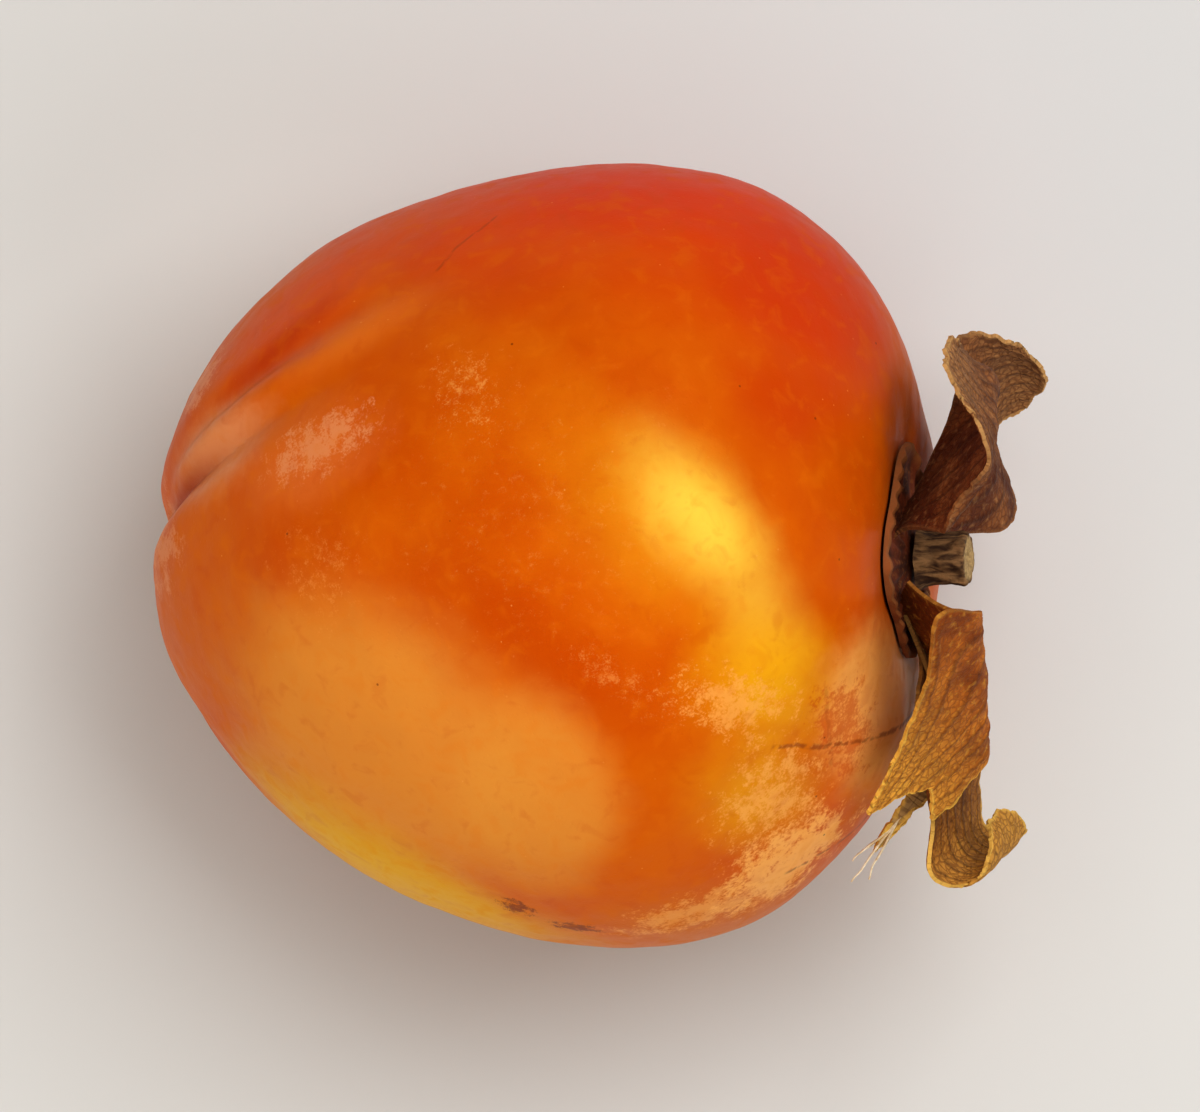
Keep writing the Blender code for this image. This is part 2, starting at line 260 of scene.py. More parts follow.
class Signal:
    """A value in a finish: one node's output, with Python's operators for its maths."""

    def __init__(self, finish: "Finish", socket: bpy.types.NodeSocket) -> None:
        """Wraps an output socket of a finish's nodes."""
        self.finish = finish
        self.socket = socket

    def maths(self, operation: str, *values: "Signal | float") -> "Signal":
        """A Math node on these values.

        Args:
            operation: The node's operation.
            *values: Its inputs in order.

        Returns:
            The node's result.
        """
        return self.finish.add("ShaderNodeMath", {"operation": operation}, dict(enumerate(values)))

    def __add__(self, other: "Signal | float") -> "Signal":
        """self + other."""
        return self.maths("ADD", self, other)

    __radd__ = __add__

    def __sub__(self, other: "Signal | float") -> "Signal":
        """self - other."""
        return self.maths("SUBTRACT", self, other)

    def __rsub__(self, other: float) -> "Signal":
        """other - self."""
        return self.maths("SUBTRACT", other, self)

    def __mul__(self, other: "Signal | float") -> "Signal":
        """self * other."""
        return self.maths("MULTIPLY", self, other)

    __rmul__ = __mul__

    def __truediv__(self, other: "Signal | float") -> "Signal":
        """self / other."""
        return self.maths("DIVIDE", self, other)

    def __pow__(self, other: float) -> "Signal":
        """self to the power of other."""
        return self.maths("POWER", self, other)

    def __abs__(self) -> "Signal":
        """The size of self."""
        return self.maths("ABSOLUTE", self)

    def larger(self, other: "Signal | float") -> "Signal":
        """The larger of self and other."""
        return self.maths("MAXIMUM", self, other)

    def step(self, low: float, high: float) -> "Signal":
        """Rises smoothly from 0 where self is low to 1 where it is high; low may be the larger.

        Args:
            low: The value that gives 0.
            high: The value that gives 1.

        Returns:
            The eased value.
        """
        settings = {"interpolation_type": "SMOOTHSTEP"}
        if low <= high:
            return self.finish.add("ShaderNodeMapRange", settings, {0: self, 1: low, 2: high})
        return 1 - self.step(high, low)


class Finish:
    """A material being made: its nodes, and the Principled shader that they end in."""

    def __init__(self, name: str) -> None:
        """Starts an empty material of this name."""
        self.material = bpy.data.materials.new(name)
        self.material.use_nodes = True
        self.nodes = self.material.node_tree.nodes
        self.links = self.material.node_tree.links
        self.shader = self.nodes["Principled BSDF"]

    def add(
        self,
        kind: str,
        settings: Mapping[str, Any] | None = None,
        sockets: Mapping[Any, Any] | None = None,
        out: int | str = 0,
    ) -> Signal:
        """Adds any node.

        Args:
            kind: The node's type.
            settings: Its properties, set first. The key stops holds a ramp's stops.
            sockets: Its inputs by name or number, each a Signal or a constant.
            out: The output that is wanted.

        Returns:
            That output.
        """
        node = self.nodes.new(kind)
        for name, value in (settings or {}).items():
            if name == "stops":
                self._set_stops(node.color_ramp, value)
            else:
                setattr(node, name, value)
        for key, value in (sockets or {}).items():
            self.feed(node.inputs[key], value)
        return Signal(self, node.outputs[out])

    @staticmethod
    def _set_stops(ramp: bpy.types.ColorRamp, stops: Sequence[tuple[float, Colour]]) -> None:
        """Gives a colour ramp these stops, each a place and a colour."""
        while len(ramp.elements) < len(stops):
            ramp.elements.new(1.0)
        for element, (place, colour) in zip(ramp.elements, stops):
            element.position = place
            element.color = colour

    def feed(self, socket: bpy.types.NodeSocket, value: Any) -> None:
        """Links a Signal to a socket, or sets the socket to a constant."""
        if isinstance(value, Signal):
            self.links.new(value.socket, socket)
        else:
            socket.default_value = value

    def place(self, centre: Sequence[float] = (0, 0, 0), per_metre: float = 1000.0) -> Signal:
        """Object coordinates about a centre.

        Args:
            centre: The point that becomes the pattern's origin, in metres.
            per_metre: The scale: 1000 gives millimetres.

        Returns:
            The vector.
        """
        source = self.add("ShaderNodeTexCoord", out="Object")
        shift = tuple(-per_metre * c for c in centre)
        sockets = {"Vector": source, "Location": shift, "Scale": (per_metre,) * 3}
        return self.add("ShaderNodeMapping", None, sockets)

    def attribute(self, name: str, out: str = "Fac") -> Signal:
        """An attribute that the mesh carries, as a number or a vector."""
        return self.add("ShaderNodeAttribute", {"attribute_name": name}, out=out)

    def mottle(
        self, at: Signal, grain: float, detail: float = 3.0, warp: float = 0.0, fine: float = 0.5
    ) -> Signal:
        """Noise from 0 to 1 with an average of a half.

        Args:
            at: The vector, in millimetres.
            grain: The size of its blotches, in millimetres.
            detail: How many finer layers it has.
            warp: How far it is distorted.
            fine: How strong the finer layers are.

        Returns:
            The value.
        """
        sockets = {"Vector": at, "Scale": 1 / grain, "Detail": detail, "Distortion": warp}
        return self.add("ShaderNodeTexNoise", None, {**sockets, "Roughness": fine})

    def stretched(self, at: Signal, scale: Sequence[float]) -> Signal:
        """A vector with each part multiplied."""
        return self.add("ShaderNodeVectorMath", {"operation": "MULTIPLY"}, {0: at, 1: tuple(scale)})

    def part(self, at: Signal, axis: str) -> Signal:
        """One part of a vector: X, Y or Z."""
        return self.add("ShaderNodeSeparateXYZ", None, {0: at}, out=axis)

    def mix(self, share: Signal | float, under: Any, over: Any, how: Blend = Blend.COVER) -> Signal:
        """Lays one colour over another.

        Args:
            share: How far it covers, from 0 to 1.
            under: The colour below.
            over: The colour laid on.
            how: The way that it is laid on.

        Returns:
            The colour.
        """
        settings = {"data_type": "RGBA", "blend_type": how.value}
        sockets = {"Factor": share, 6: under, 7: over}
        return self.add("ShaderNodeMix", settings, sockets, out=2)

    def bump(self, height: Signal, depth: float, strength: float = 1.0) -> Signal:
        """A normal that a height from 0 to 1 tilts.

        Args:
            height: The relief.
            depth: What a height of 1 stands for, in metres.
            strength: How far the relief shows.

        Returns:
            The normal.
        """
        return self.add("ShaderNodeBump", None, {"Height": height, "Distance": depth, "Strength": strength})

    def close(self, **inputs: Any) -> bpy.types.Material:
        """Feeds the Principled shader and hands over the material.

        Args:
            **inputs: Its sockets, with underscores for spaces.

        Returns:
            The finished material.
        """
        for name, value in inputs.items():
            self.feed(self.shader.inputs[name.replace("_", " ")], value)
        return self.material


@dataclass(frozen=True)
class Crease:
    """A furrow that runs from the blossom end up the side of the fruit.

    azimuth is where it starts and sweep how far it has turned by a polar angle of 70. It is
    deepest from the polar angle deepest to held, and gone at faded. groove is how deep a fine
    groove runs along its bottom, and how strongly painted shade darkens it there.
    """

    azimuth: float
    sweep: float
    depth: float
    half_width: float
    deepest: float
    held: float
    faded: float
    groove: float = 0.0

    def along(self, polar: Array) -> Array:
        """How strong the crease is at these polar angles, from 0 to 1."""
        return ease(polar, 0, self.deepest) * (1 - ease(polar, self.held, self.faded))

    def across(self, polar: Array, azimuth: Array, radius: Array) -> Array:
        """The distance from the crease's line, in its half widths."""
        turn = turn_between(azimuth, self.azimuth + self.sweep * (polar / 70) ** 2)
        return np.radians(turn) * radius / self.half_width

    def relief(self, polar: Array, azimuth: Array, radius: Array) -> Array:
        """How far the crease moves the skin: down in its middle, and up a little beside it."""
        across = self.across(polar, azimuth, radius)
        shape = (1 - 0.35 * across**2) * np.exp(-(across**2) / 1.6)
        return -self.depth * self.along(polar) * shape


@dataclass(frozen=True)
class FruitForm:
    """The form of the skin about the fruit's core, which runs from the blossom end to the calyx."""

    belly_radius: float = 0.0411
    blossom_length: float = 0.0500
    calyx_length: float = 0.0340
    tip_bluntness: float = 0.86
    bluntness: float = 0.98
    flattening: float = 0.97
    widest_blend: tuple[float, float] = (50, 130)
    blossom_lean: float = 0.0009
    shoulder_lean: float = 0.0011
    lobe_azimuth: float = -7
    belly_lobe: float = 0.0003
    shoulder_lobe: float = 0.0011
    basin_depth: float = 0.0062
    basin_radius: float = 0.0125
    dimple_depth: float = 0.0013
    dimple_radius: float = 0.0040
    pleat_azimuth: float = 24
    pleat_sweep: float = 18
    pleat_height: float = 0.0006
    pleat_half_angle: float = 6
    rest_pitch: float = -12
    creases: tuple[Crease, ...] = (
        Crease(18, 17, 0.0021, 0.0025, 13, 26, 70, groove=1.0),
        Crease(30, 19, 0.0011, 0.0022, 30, 36, 76),
        Crease(-66, -8, 0.0009, 0.0034, 16, 22, 58),
        Crease(120, 12, 0.0012, 0.0028, 18, 24, 60, groove=0.3),
        Crease(-150, -10, 0.0013, 0.0030, 18, 26, 64, groove=0.3),
    )

    def radius(self, polar: Array) -> Array:
        """The distance from the core before lobes and creases."""
        bluntness = self.tip_bluntness + (self.bluntness - self.tip_bluntness) * ease(polar, 5, 45)
        return self.belly_radius * np.abs(np.sin(np.radians(polar))) ** bluntness

    def relief(self, polar: Array, azimuth: Array, radius: Array) -> Array:
        """How far the creases, and the pleat between two of them, move the skin."""
        relief = sum(crease.relief(polar, azimuth, radius) for crease in self.creases)
        along = ease(polar, 8, 30) * (1 - ease(polar, 40, 75))
        middle = self.pleat_azimuth + self.pleat_sweep * (polar / 70) ** 2
        across = turn_between(azimuth, middle) / self.pleat_half_angle
        return relief + self.pleat_height * along * np.exp(-(across**2))

    def skin(self, polar: Array, azimuth: Array, extra: Array | float = 0.0) -> Array:
        """Points of the skin in the fruit's own axes.

        Args:
            polar: 0 at the blossom end and 180 at the calyx.
            azimuth: Round the core, 0 up and 90 towards +Y.
            extra: Relief on top of the fruit's form, in metres.

        Returns:
            One point a row.
        """
        polar, azimuth = np.asarray(polar, float), np.asarray(azimuth, float)
        angle = np.radians(polar)
        blend = ease(polar, *self.widest_blend)
        half_length = self.blossom_length + (self.calyx_length - self.blossom_length) * blend
        radius = self.radius(polar)
        shoulder = ease(polar, 95, 140) * (1 - ease(polar, 160, 180))
        wave = np.cos(np.radians(4 * (azimuth - self.lobe_azimuth)))
        lobe = wave * (self.belly_lobe * np.sin(angle) + self.shoulder_lobe * shoulder)
        relief = self.relief(polar, azimuth, radius) + extra
        basin = self.basin_depth * np.exp(-((radius / self.basin_radius) ** 2)) * ease(polar, 90, 120)
        dimple = self.dimple_depth * np.exp(-((radius / self.dimple_radius) ** 2)) * ease(polar, 90, 60)
        along = -half_length * np.cos(angle) - basin + dimple - relief * np.cos(angle)
        across = radius + lobe + relief * np.sin(angle)
        lean = self.blossom_lean * ease(polar, 10, 35) * ease(polar, 80, 40)
        lean = lean + self.shoulder_lean * shoulder
        place = outward(azimuth) * across[..., None] * np.array([1, 1, self.flattening])
        return place + np.stack([along, lean, np.zeros_like(along)], axis=-1)

    def basin(self, radius: Array, azimuth: Array) -> Array:
        """Points of the skin in the basin, at these distances from the core."""
        radius = np.asarray(radius, float)
        polar = 180 - np.degrees(np.arcsin((radius / self.belly_radius) ** (1 / self.bluntness)))
        return self.skin(polar, azimuth)

    def seat(self) -> float:
        """Where the calyx's floor is on the core."""
        return float(self.skin(180.0, 0.0)[0]) + GAP


@dataclass
class Rest:
    """How the fruit lies: turns points from its own axes into the frame's."""

    form: FruitForm
    core: Array = field(default_factory=lambda: np.zeros(3))

    def __post_init__(self) -> None:
        """Finds the core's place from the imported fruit's box."""
        polar, azimuth = np.meshgrid(np.linspace(0, 180, 181), np.arange(0, 360, 2))
        turned = self.turn(self.form.skin(polar.ravel(), azimuth.ravel()))
        low, high = (np.array(corner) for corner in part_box("fruit"))
        middle = (low + high - turned.min(0) - turned.max(0)) / 2
        self.core = np.array([middle[0], middle[1], high[2] - turned[:, 2].max()])

    def turn(self, points: Array) -> Array:
        """Tips the fruit's axes by the rest pitch."""
        angle = math.radians(self.form.rest_pitch)
        level, tilt = math.cos(angle), math.sin(angle)
        matrix = np.array([[level, 0, tilt], [0, 1, 0], [-tilt, 0, level]])
        return points @ matrix.T

    def place(self, points: Array) -> Array:
        """Points of the fruit's axes in the frame's."""
        return self.turn(points) + self.core


class Edge(Enum):
    """How a patch of skin ends."""

    SOFT = "fades out"
    SPECKLED = "breaks up into specks"


@dataclass(frozen=True)
class Patch:
    """An area of the skin with a colour of its own, or with painted highlight, reflection or shade.

    at is its middle in plan, in millimetres from the core's middle, on the upper or the lower
    side. reach is its half size in millimetres along, across and up, and turn is in degrees.
    edge is how far in its edge begins, and grain the size in millimetres of what breaks it up.
    dense is how closely the specks of a speckled patch stand in its middle.
    """

    name: str
    at: tuple[float, float]
    reach: tuple[float, float, float]
    turn: float
    colour: Colour
    share: float
    edge: float = 0.8
    grain: float = 6.0
    kind: Edge = Edge.SOFT
    dense: float = 0.42
    under: bool = False


@dataclass(frozen=True)
class Scratch:
    """A dry line on the skin between two places in plan, in millimetres from the core's middle."""

    start: tuple[float, float]
    end: tuple[float, float]
    half_width: float
    share: float


# A red skin tone that also stands for painted shade on the upper side.
SHADED_RED = srgb(216, 54, 0)
DEEP = srgb(202, 74, 0)
AMBER = srgb(240, 174, 18)
# A yellow skin tone that also stands for a painted highlight on the ridge.
YELLOW_AND_HIGHLIGHT = srgb(246, 206, 76)
# A peach that stands for a painted reflection of a broad pale lamp.
PEACH_REFLECTION = srgb(228, 154, 62)
BLOOM = srgb(246, 176, 92)
# A rose tint that stands for a painted highlight near the blossom end.
ROSE_HIGHLIGHT = srgb(228, 150, 98)
GOLD = srgb(228, 172, 0)
SCUFF = srgb(132, 52, 4)

SKIN_PATCHES = (
    # Redder skin with painted shade: the upper side, the part right of the top and the upper left are
    # darkened where shade falls.
    Patch("red upper side", (4, 42), (56, 24, 60), 0, SHADED_RED, 0.9, 0.8, 14),
    Patch("red right of the top", (20, 28), (18, 17, 30), -20, srgb(202, 56, 0), 0.8, 0.8, 9),
    Patch("red upper left", (-34, 27), (20, 9, 30), 40, srgb(220, 82, 0), 0.8, 0.9, 8),
    Patch("deep band", (-8, -8), (22, 7, 24), -42, srgb(198, 78, 0), 0.85, 0.9, 6),
    # Painted shade on the face right of the ridge, over a deeper skin.
    Patch("deep beside the ridge", (17, 17), (10, 7, 16), -40, srgb(200, 66, 0), 0.8, 0.9, 6),
    # Yellow and amber skin along the ridge, with a painted highlight laid on it where the key light falls.
    Patch("amber round the ridge", (4, 5), (20, 12, 26), -46, AMBER, 0.50, 1.0, 7),
    Patch("yellow ridge", (9, 5), (15, 7.5, 18), -52, YELLOW_AND_HIGHLIGHT, 0.92, 1.0, 6),
    Patch("yellow below the ridge", (15, -6), (7, 9, 16), 10, YELLOW_AND_HIGHLIGHT, 0.45, 1.0, 5),
    Patch("amber shoulder", (16, -12), (13, 10, 20), -30, AMBER, 0.85, 0.9, 5),
    Patch("amber low shoulder", (14, -24), (11, 9, 18), -20, AMBER, 0.6, 0.9, 5),
    # Painted reflection of a broad pale lamp on the lower left of the skin.
    Patch("peach side", (-24, -19), (28, 18.5, 44), -30, PEACH_REFLECTION, 0.78, 0.6, 9),
    Patch("peach low middle", (-8, -24), (11, 13, 30), 0, PEACH_REFLECTION, 0.66, 0.5, 8),
    Patch("orange rim", (10, -39), (34, 8, 34), 4, srgb(208, 112, 8), 0.7, 0.9, 6),
    Patch("orange left end", (-46, -12), (7, 14, 40), 12, srgb(212, 108, 14), 0.8, 1.0, 6),
    Patch("lit pleat", (-28, 23), (15, 2.8, 12), 30, srgb(226, 118, 30), 0.8, 1.0, 4),
    Patch("yellow ground", (-27, -32), (25, 8, 27), -33, GOLD, 1.0, 0.9, 12),
    Patch("yellow rim", (-16, -37), (22, 5, 22), -20, GOLD, 0.75, 1.0, 10),
    Patch("amber underside", (4, -30), (46, 34, 34), 0, srgb(220, 120, 4), 0.5, 0.8, 12, under=True),
    # Pale bloom on the shoulder with a painted reflection over it.
    Patch("shoulder peach", (26.5, -16), (8, 13, 24), 12, BLOOM, 0.95, 0.6, 4.0),
    Patch("lit lip", (31, -13), (6, 13, 26), 12, srgb(255, 184, 104), 0.85, 0.9, 4.0),
    Patch("shoulder flakes", (23, -17), (6, 11, 20), 12, DEEP, 0.60, 1.0, 2.6, Edge.SPECKLED),
    Patch("deep by the calyx", (25, -3), (9, 3.2, 12), -12, srgb(216, 98, 10), 0.5, 1.0, 3.0),
    Patch("shoulder veil", (12, -14), (14, 7, 20), -6, BLOOM, 0.62, 1.0, 1.8, Edge.SPECKLED, 0.34),
    Patch("middle veil", (16, -24), (12, 10, 20), 30, BLOOM, 0.66, 1.0, 2.0, Edge.SPECKLED, 0.36),
    Patch("low veil", (17, -31), (15, 7, 20), 34, BLOOM, 0.95, 0.9, 3.0, Edge.SPECKLED),
    Patch("low rim veil", (10, -36), (18, 4, 18), 14, BLOOM, 0.60, 1.0, 2.0, Edge.SPECKLED),
    Patch("high specks", (-15, 18), (11, 7, 16), -50, BLOOM, 0.50, 1.0, 1.4, Edge.SPECKLED, 0.22),
    Patch("belly specks", (0, -11), (11, 4, 14), -30, BLOOM, 0.32, 1.0, 1.2, Edge.SPECKLED, 0.22),
    Patch("left specks", (-31, -1), (9, 11, 14), 16, BLOOM, 0.28, 1.0, 1.2, Edge.SPECKLED, 0.20),
    Patch("broad specks", (-6, 4), (34, 26, 40), -20, BLOOM, 0.22, 1.0, 1.0, Edge.SPECKLED, 0.12),
    # Painted highlights and sheen, in a rose tint, round the creases and the blossom end.
    Patch("crease rose", (-42, 11.5), (10, 5.5, 20), 38, ROSE_HIGHLIGHT, 0.9, 0.8, 2.0),
    Patch("crease glow", (-32, 11), (13, 6.5, 16), 28, srgb(222, 118, 52), 0.7, 0.9, 3.0),
    Patch("crease trail", (-31, 12.5), (13, 5, 14), 24, ROSE_HIGHLIGHT, 0.75, 1.0, 1.6, Edge.SPECKLED),
    Patch("high rose", (-45, 18), (7, 2.4, 20), 56, ROSE_HIGHLIGHT, 0.65, 1.0, 1.4, Edge.SPECKLED),
    Patch("apex rose", (-49, 2), (5, 11, 24), 6, ROSE_HIGHLIGHT, 0.65, 1.0, 2.4, Edge.SPECKLED),
    # Painted shade along the second crease's groove.
    Patch("dark band", (-36, 22), (13, 1.8, 14), 42, srgb(190, 58, 0), 0.85, 1.0, 3),
    Patch("scuff", (-11, -36.2), (3.6, 1.7, 5), -20, SCUFF, 0.9, 1.0, 0.9, Edge.SPECKLED),
    Patch("scuff line", (-5, -38.2), (5.2, 1.1, 4), -8, SCUFF, 0.9, 1.0, 0.8, Edge.SPECKLED),
)

SCRATCHES = (
    Scratch((15.8, -18.6), (31.5, -15.3), 0.20, 0.65),
    Scratch((17.0, -32.8), (27.0, -25.5), 0.18, 0.60),
    Scratch((21.5, -12.8), (21.9, -21.2), 0.22, 0.22),
    Scratch((22.0, -31.5), (28.5, -23.5), 0.16, 0.45),
    Scratch((-19.0, 30.0), (-13.0, 36.0), 0.14, 0.4),
)


@dataclass(frozen=True)
class SkinFinish:
    """Waxy skin: deep orange ground, patches of red, amber and yellow, and a broken pale bloom, with
    painted highlight, reflection and shade in some patches and along the creases.
    """

    ground: Colour = srgb(208, 94, 2)
    lighter: Colour = srgb(224, 122, 8)
    deeper: Colour = srgb(198, 74, 0)
    # The painted shade along the bottoms of the creases.
    crease: Colour = srgb(160, 54, 20)
    speck: Colour = srgb(238, 170, 90)
    dark_speck: Colour = srgb(110, 40, 5)
    scratch: Colour = srgb(142, 58, 12)
    roughness: float = 0.38
    gloss: float = 0.11
    tint: Colour = (1.0, 0.66, 0.34, 1.0)

    def _patch(self, made: Finish, colour: Signal, at: Signal, patch: Patch, middle: Array) -> Signal:
        """Lays one patch over the colour so far.

        Args:
            made: The finish that is being made.
            colour: The colour so far.
            at: The place, in millimetres from the core's middle.
            patch: The patch.
            middle: Its middle on the skin, in the same millimetres.

        Returns:
            The colour with the patch.
        """
        angle = math.radians(patch.turn)
        shifted = made.add("ShaderNodeVectorMath", {"operation": "SUBTRACT"}, {0: at, 1: tuple(middle)})
        turned = made.add("ShaderNodeMapping", None, {"Vector": shifted, "Rotation": (0, 0, -angle)})
        sized = made.stretched(turned, [1 / reach for reach in patch.reach])
        length = made.add("ShaderNodeVectorMath", {"operation": "LENGTH"}, {0: sized}, out="Value")
        if patch.kind is Edge.SOFT:
            length = length + (made.mottle(at, patch.grain, 5, 0.4) - 0.5) * 0.42
            inside = length.step(1.0, 1.0 - patch.edge)
        else:
            falloff = length.step(1.0, 1.0 - patch.edge)
            grains = made.mottle(at, patch.grain, 6, 0.15, 0.62) - 0.5
            specks = made.mottle(at, patch.grain * 0.16, 3, 0.0, 0.6) - 0.5
            height = falloff * patch.dense + grains + specks * 0.55
            inside = height.step(0.16, 0.40) * falloff.step(0.0, 0.3)
        return made.mix(inside * patch.share, colour, patch.colour)

    def _scratch(self, made: Finish, colour: Signal, at: Signal, ends: Array, line: Scratch) -> Signal:
        """Draws one dry line over the colour so far.

        Args:
            made: The finish that is being made.
            colour: The colour so far.
            at: The place, in millimetres from the core's middle.
            ends: Its two ends on the skin, in the same millimetres.
            line: The scratch.

        Returns:
            The colour with the scratch.
        """
        run = ends[1] - ends[0]
        length = float(np.linalg.norm(run))
        flat = np.cross(run, ends.mean(0))
        flat = flat / np.linalg.norm(flat)
        offset = made.add("ShaderNodeVectorMath", {"operation": "SUBTRACT"}, {0: at, 1: tuple(ends[0])})
        dot = {"operation": "DOT_PRODUCT"}
        aside = made.add("ShaderNodeVectorMath", dot, {0: offset, 1: tuple(flat)}, out="Value")
        along = made.add("ShaderNodeVectorMath", dot, {0: offset, 1: tuple(run / length)}, out="Value")
        up = made.add("ShaderNodeVectorMath", dot, {0: at, 1: tuple(ends.mean(0))}, out="Value")
        wander = (made.mottle(at, 4.0, 2) - 0.5) * 1.2
        near = abs(aside + wander).step(line.half_width * 2.2, line.half_width * 0.4)
        within = along.step(-0.4, 0.6) * along.step(length + 0.4, length - 0.6) * up.step(0.0, 1.0)
        dashed = made.mottle(at, 1.1, 3).step(0.36, 0.56)
        return made.mix(near * within * dashed * line.share, colour, self.scratch)

    def make(self, fruit: "Fruit") -> bpy.types.Material:
        """Builds the material for the fruit's skin.

        Args:
            fruit: The fruit, whose skin gives the patches their places.

        Returns:
            The material.
        """
        made = Finish("skin")
        at = made.place(tuple(fruit.rest.core))
        broad = made.mottle(at, 16.0, 3)
        fine = made.mottle(at, 2.6, 5, 0.6)
        colour = made.mix(broad.step(0.40, 0.66) * 0.30, self.ground, self.lighter)
        colour = made.mix(broad.step(0.52, 0.34) * 0.30, colour, self.deeper)
        for patch in SKIN_PATCHES:
            middle = fruit.on_skin(patch.at, patch.under)
            colour = self._patch(made, colour, at, patch, middle)
        colour = made.mix(fine.step(0.50, 0.72) * 0.22, colour, self.lighter)
        colour = made.mix(fine.step(0.46, 0.28) * 0.20, colour, self.deeper)
        # Painted shade along the bottoms of the creases.
        crease = made.attribute("crease")
        colour = made.mix(crease * (0.55 + 0.45 * fine), colour, self.crease)
        for line in SCRATCHES:
            ends = np.array([fruit.on_skin(line.start), fruit.on_skin(line.end)])
            colour = self._scratch(made, colour, at, ends, line)
        dots = made.add("ShaderNodeTexVoronoi", None, {"Vector": at, "Scale": 0.55}, out="Distance")
        chosen = made.mottle(at, 7.0, 2)
        colour = made.mix(dots.step(0.075, 0.03) * chosen.step(0.46, 0.62) * 0.45, colour, self.speck)
        rare = made.add("ShaderNodeTexVoronoi", None, {"Vector": at, "Scale": 0.16}, out="Distance")
        colour = made.mix(rare.step(0.030, 0.012) * 0.7, colour, self.dark_speck)
        pores = made.add("ShaderNodeTexVoronoi", None, {"Vector": at, "Scale": 1.6}, out="Distance")
        relief = made.mottle(at, 0.9, 4) * 0.7 + pores.step(0.30, 0.05) * -0.3
        rough_skin = self.roughness + fine.step(0.45, 0.75) * 0.14 + (broad - 0.5) * 0.06
        return made.close(
            Base_Color=colour,
            Roughness=rough_skin,
            Specular_IOR_Level=self.gloss,
            Subsurface_Weight=0.06,
            Subsurface_Radius=(0.0030, 0.0012, 0.0004),
            Subsurface_Scale=1.0,
            Specular_Tint=self.tint,
            Normal=made.bump(relief, 0.00006, 0.6),
        )


@dataclass
class Fruit:
    """The fruit itself: one skin with its creases, basin, dimple and resting spot."""

    form: FruitForm
    rest: Rest
    finish: SkinFinish = SkinFinish()
    rings: int = 240
    segments: int = 400
    swell: float = 0.00016
    swell_size: float = 0.011
    groove_depth: float = 0.00035
    groove_half_width: float = 0.0006
    points: Array = field(default_factory=lambda: np.zeros((0, 3)))

    def _angles(self, points: Array) -> tuple[Array, Array]:
        """The polar angle and azimuth of each point of the primitive sphere."""
        unit = points / np.linalg.norm(points, axis=1)[:, None]
        polar = np.degrees(np.arccos(np.clip(-unit[:, 2], -1, 1)))
        return polar, np.degrees(np.arctan2(unit[:, 1], -unit[:, 0]))

    def _extra(self, polar: Array, azimuth: Array) -> tuple[Array, Array]:
        """The fine relief of the skin, and how strongly each point takes the painted shade of a crease's
        groove.
        """
        plain = self.form.skin(polar, azimuth)
        calm = ease(polar, 176, 160)
        relief = self.swell * rough(plain, 1 / self.swell_size, 3, 3.1) * calm
        relief = relief + 0.00005 * rough(plain, 400, 2, 7.7) * calm
        radius = self.form.radius(polar)
        shown = np.zeros_like(polar)
        for crease in self.form.creases:
            across = crease.across(polar, azimuth, radius) * crease.half_width
            along = crease.along(polar)
            narrow = np.exp(-((across / self.groove_half_width) ** 2))
            relief = relief - self.groove_depth * crease.groove * narrow * along
            # How strongly the painted shade of the groove shows, a little wider than the groove.
            tint = np.exp(-((across / (2.2 * self.groove_half_width)) ** 2))
            shown = np.maximum(shown, crease.groove * tint * along * ease(polar, 46, 24))
        wrinkle = np.sin(np.radians(azimuth) * 46 + 3 * np.sin(polar / 4)) * ease(polar, 2, 7)
        relief = relief + 0.00003 * wrinkle * ease(polar, 18, 7)
        return relief, shown

    def on_skin(self, plan: tuple[float, float], under: bool = False) -> Array:
        """The place on the skin over or under a point in plan.

        Args:
            plan: The point, in millimetres from the core's middle.
            under: Whether the lower side is meant.

        Returns:
            The place, in millimetres from the core's middle.
        """
        points = (self.points - self.rest.core) / MM
        side = points[points[:, 2] < 0] if under else points[points[:, 2] >= 0]
        return side[np.argmin(((side[:, :2] - np.array(plan)) ** 2).sum(1))]

    def build(self) -> bpy.types.Object:
        """Models the fruit from a sphere, and presses its resting spot flat.

        Returns:
            The finished piece.
        """
        deselect()
        bpy.ops.mesh.primitive_uv_sphere_add(
            segments=self.segments, ring_count=self.rings, radius=self.form.belly_radius
        )
        piece = bpy.context.object
        piece.name = "fruit_skin"
        polar, azimuth = self._angles(points_of(piece))
        relief, shown = self._extra(polar, azimuth)
        self.points = self.rest.place(self.form.skin(polar, azimuth, relief))
        set_points(piece, self.points)
        # The crease attribute carries the painted shade of the grooves.
        set_attribute(piece, "crease", shown)
        with editing(piece):
            bpy.ops.mesh.bisect(
                plane_co=(0, 0, 0), plane_no=(0, 0, 1), use_fill=True, clear_inner=True,
                threshold=1e-7,
            )
        smooth(piece, 30)
        piece.data.materials.clear()
        piece.data.materials.append(self.finish.make(self))
        return mount(piece, "skin", "fruit")


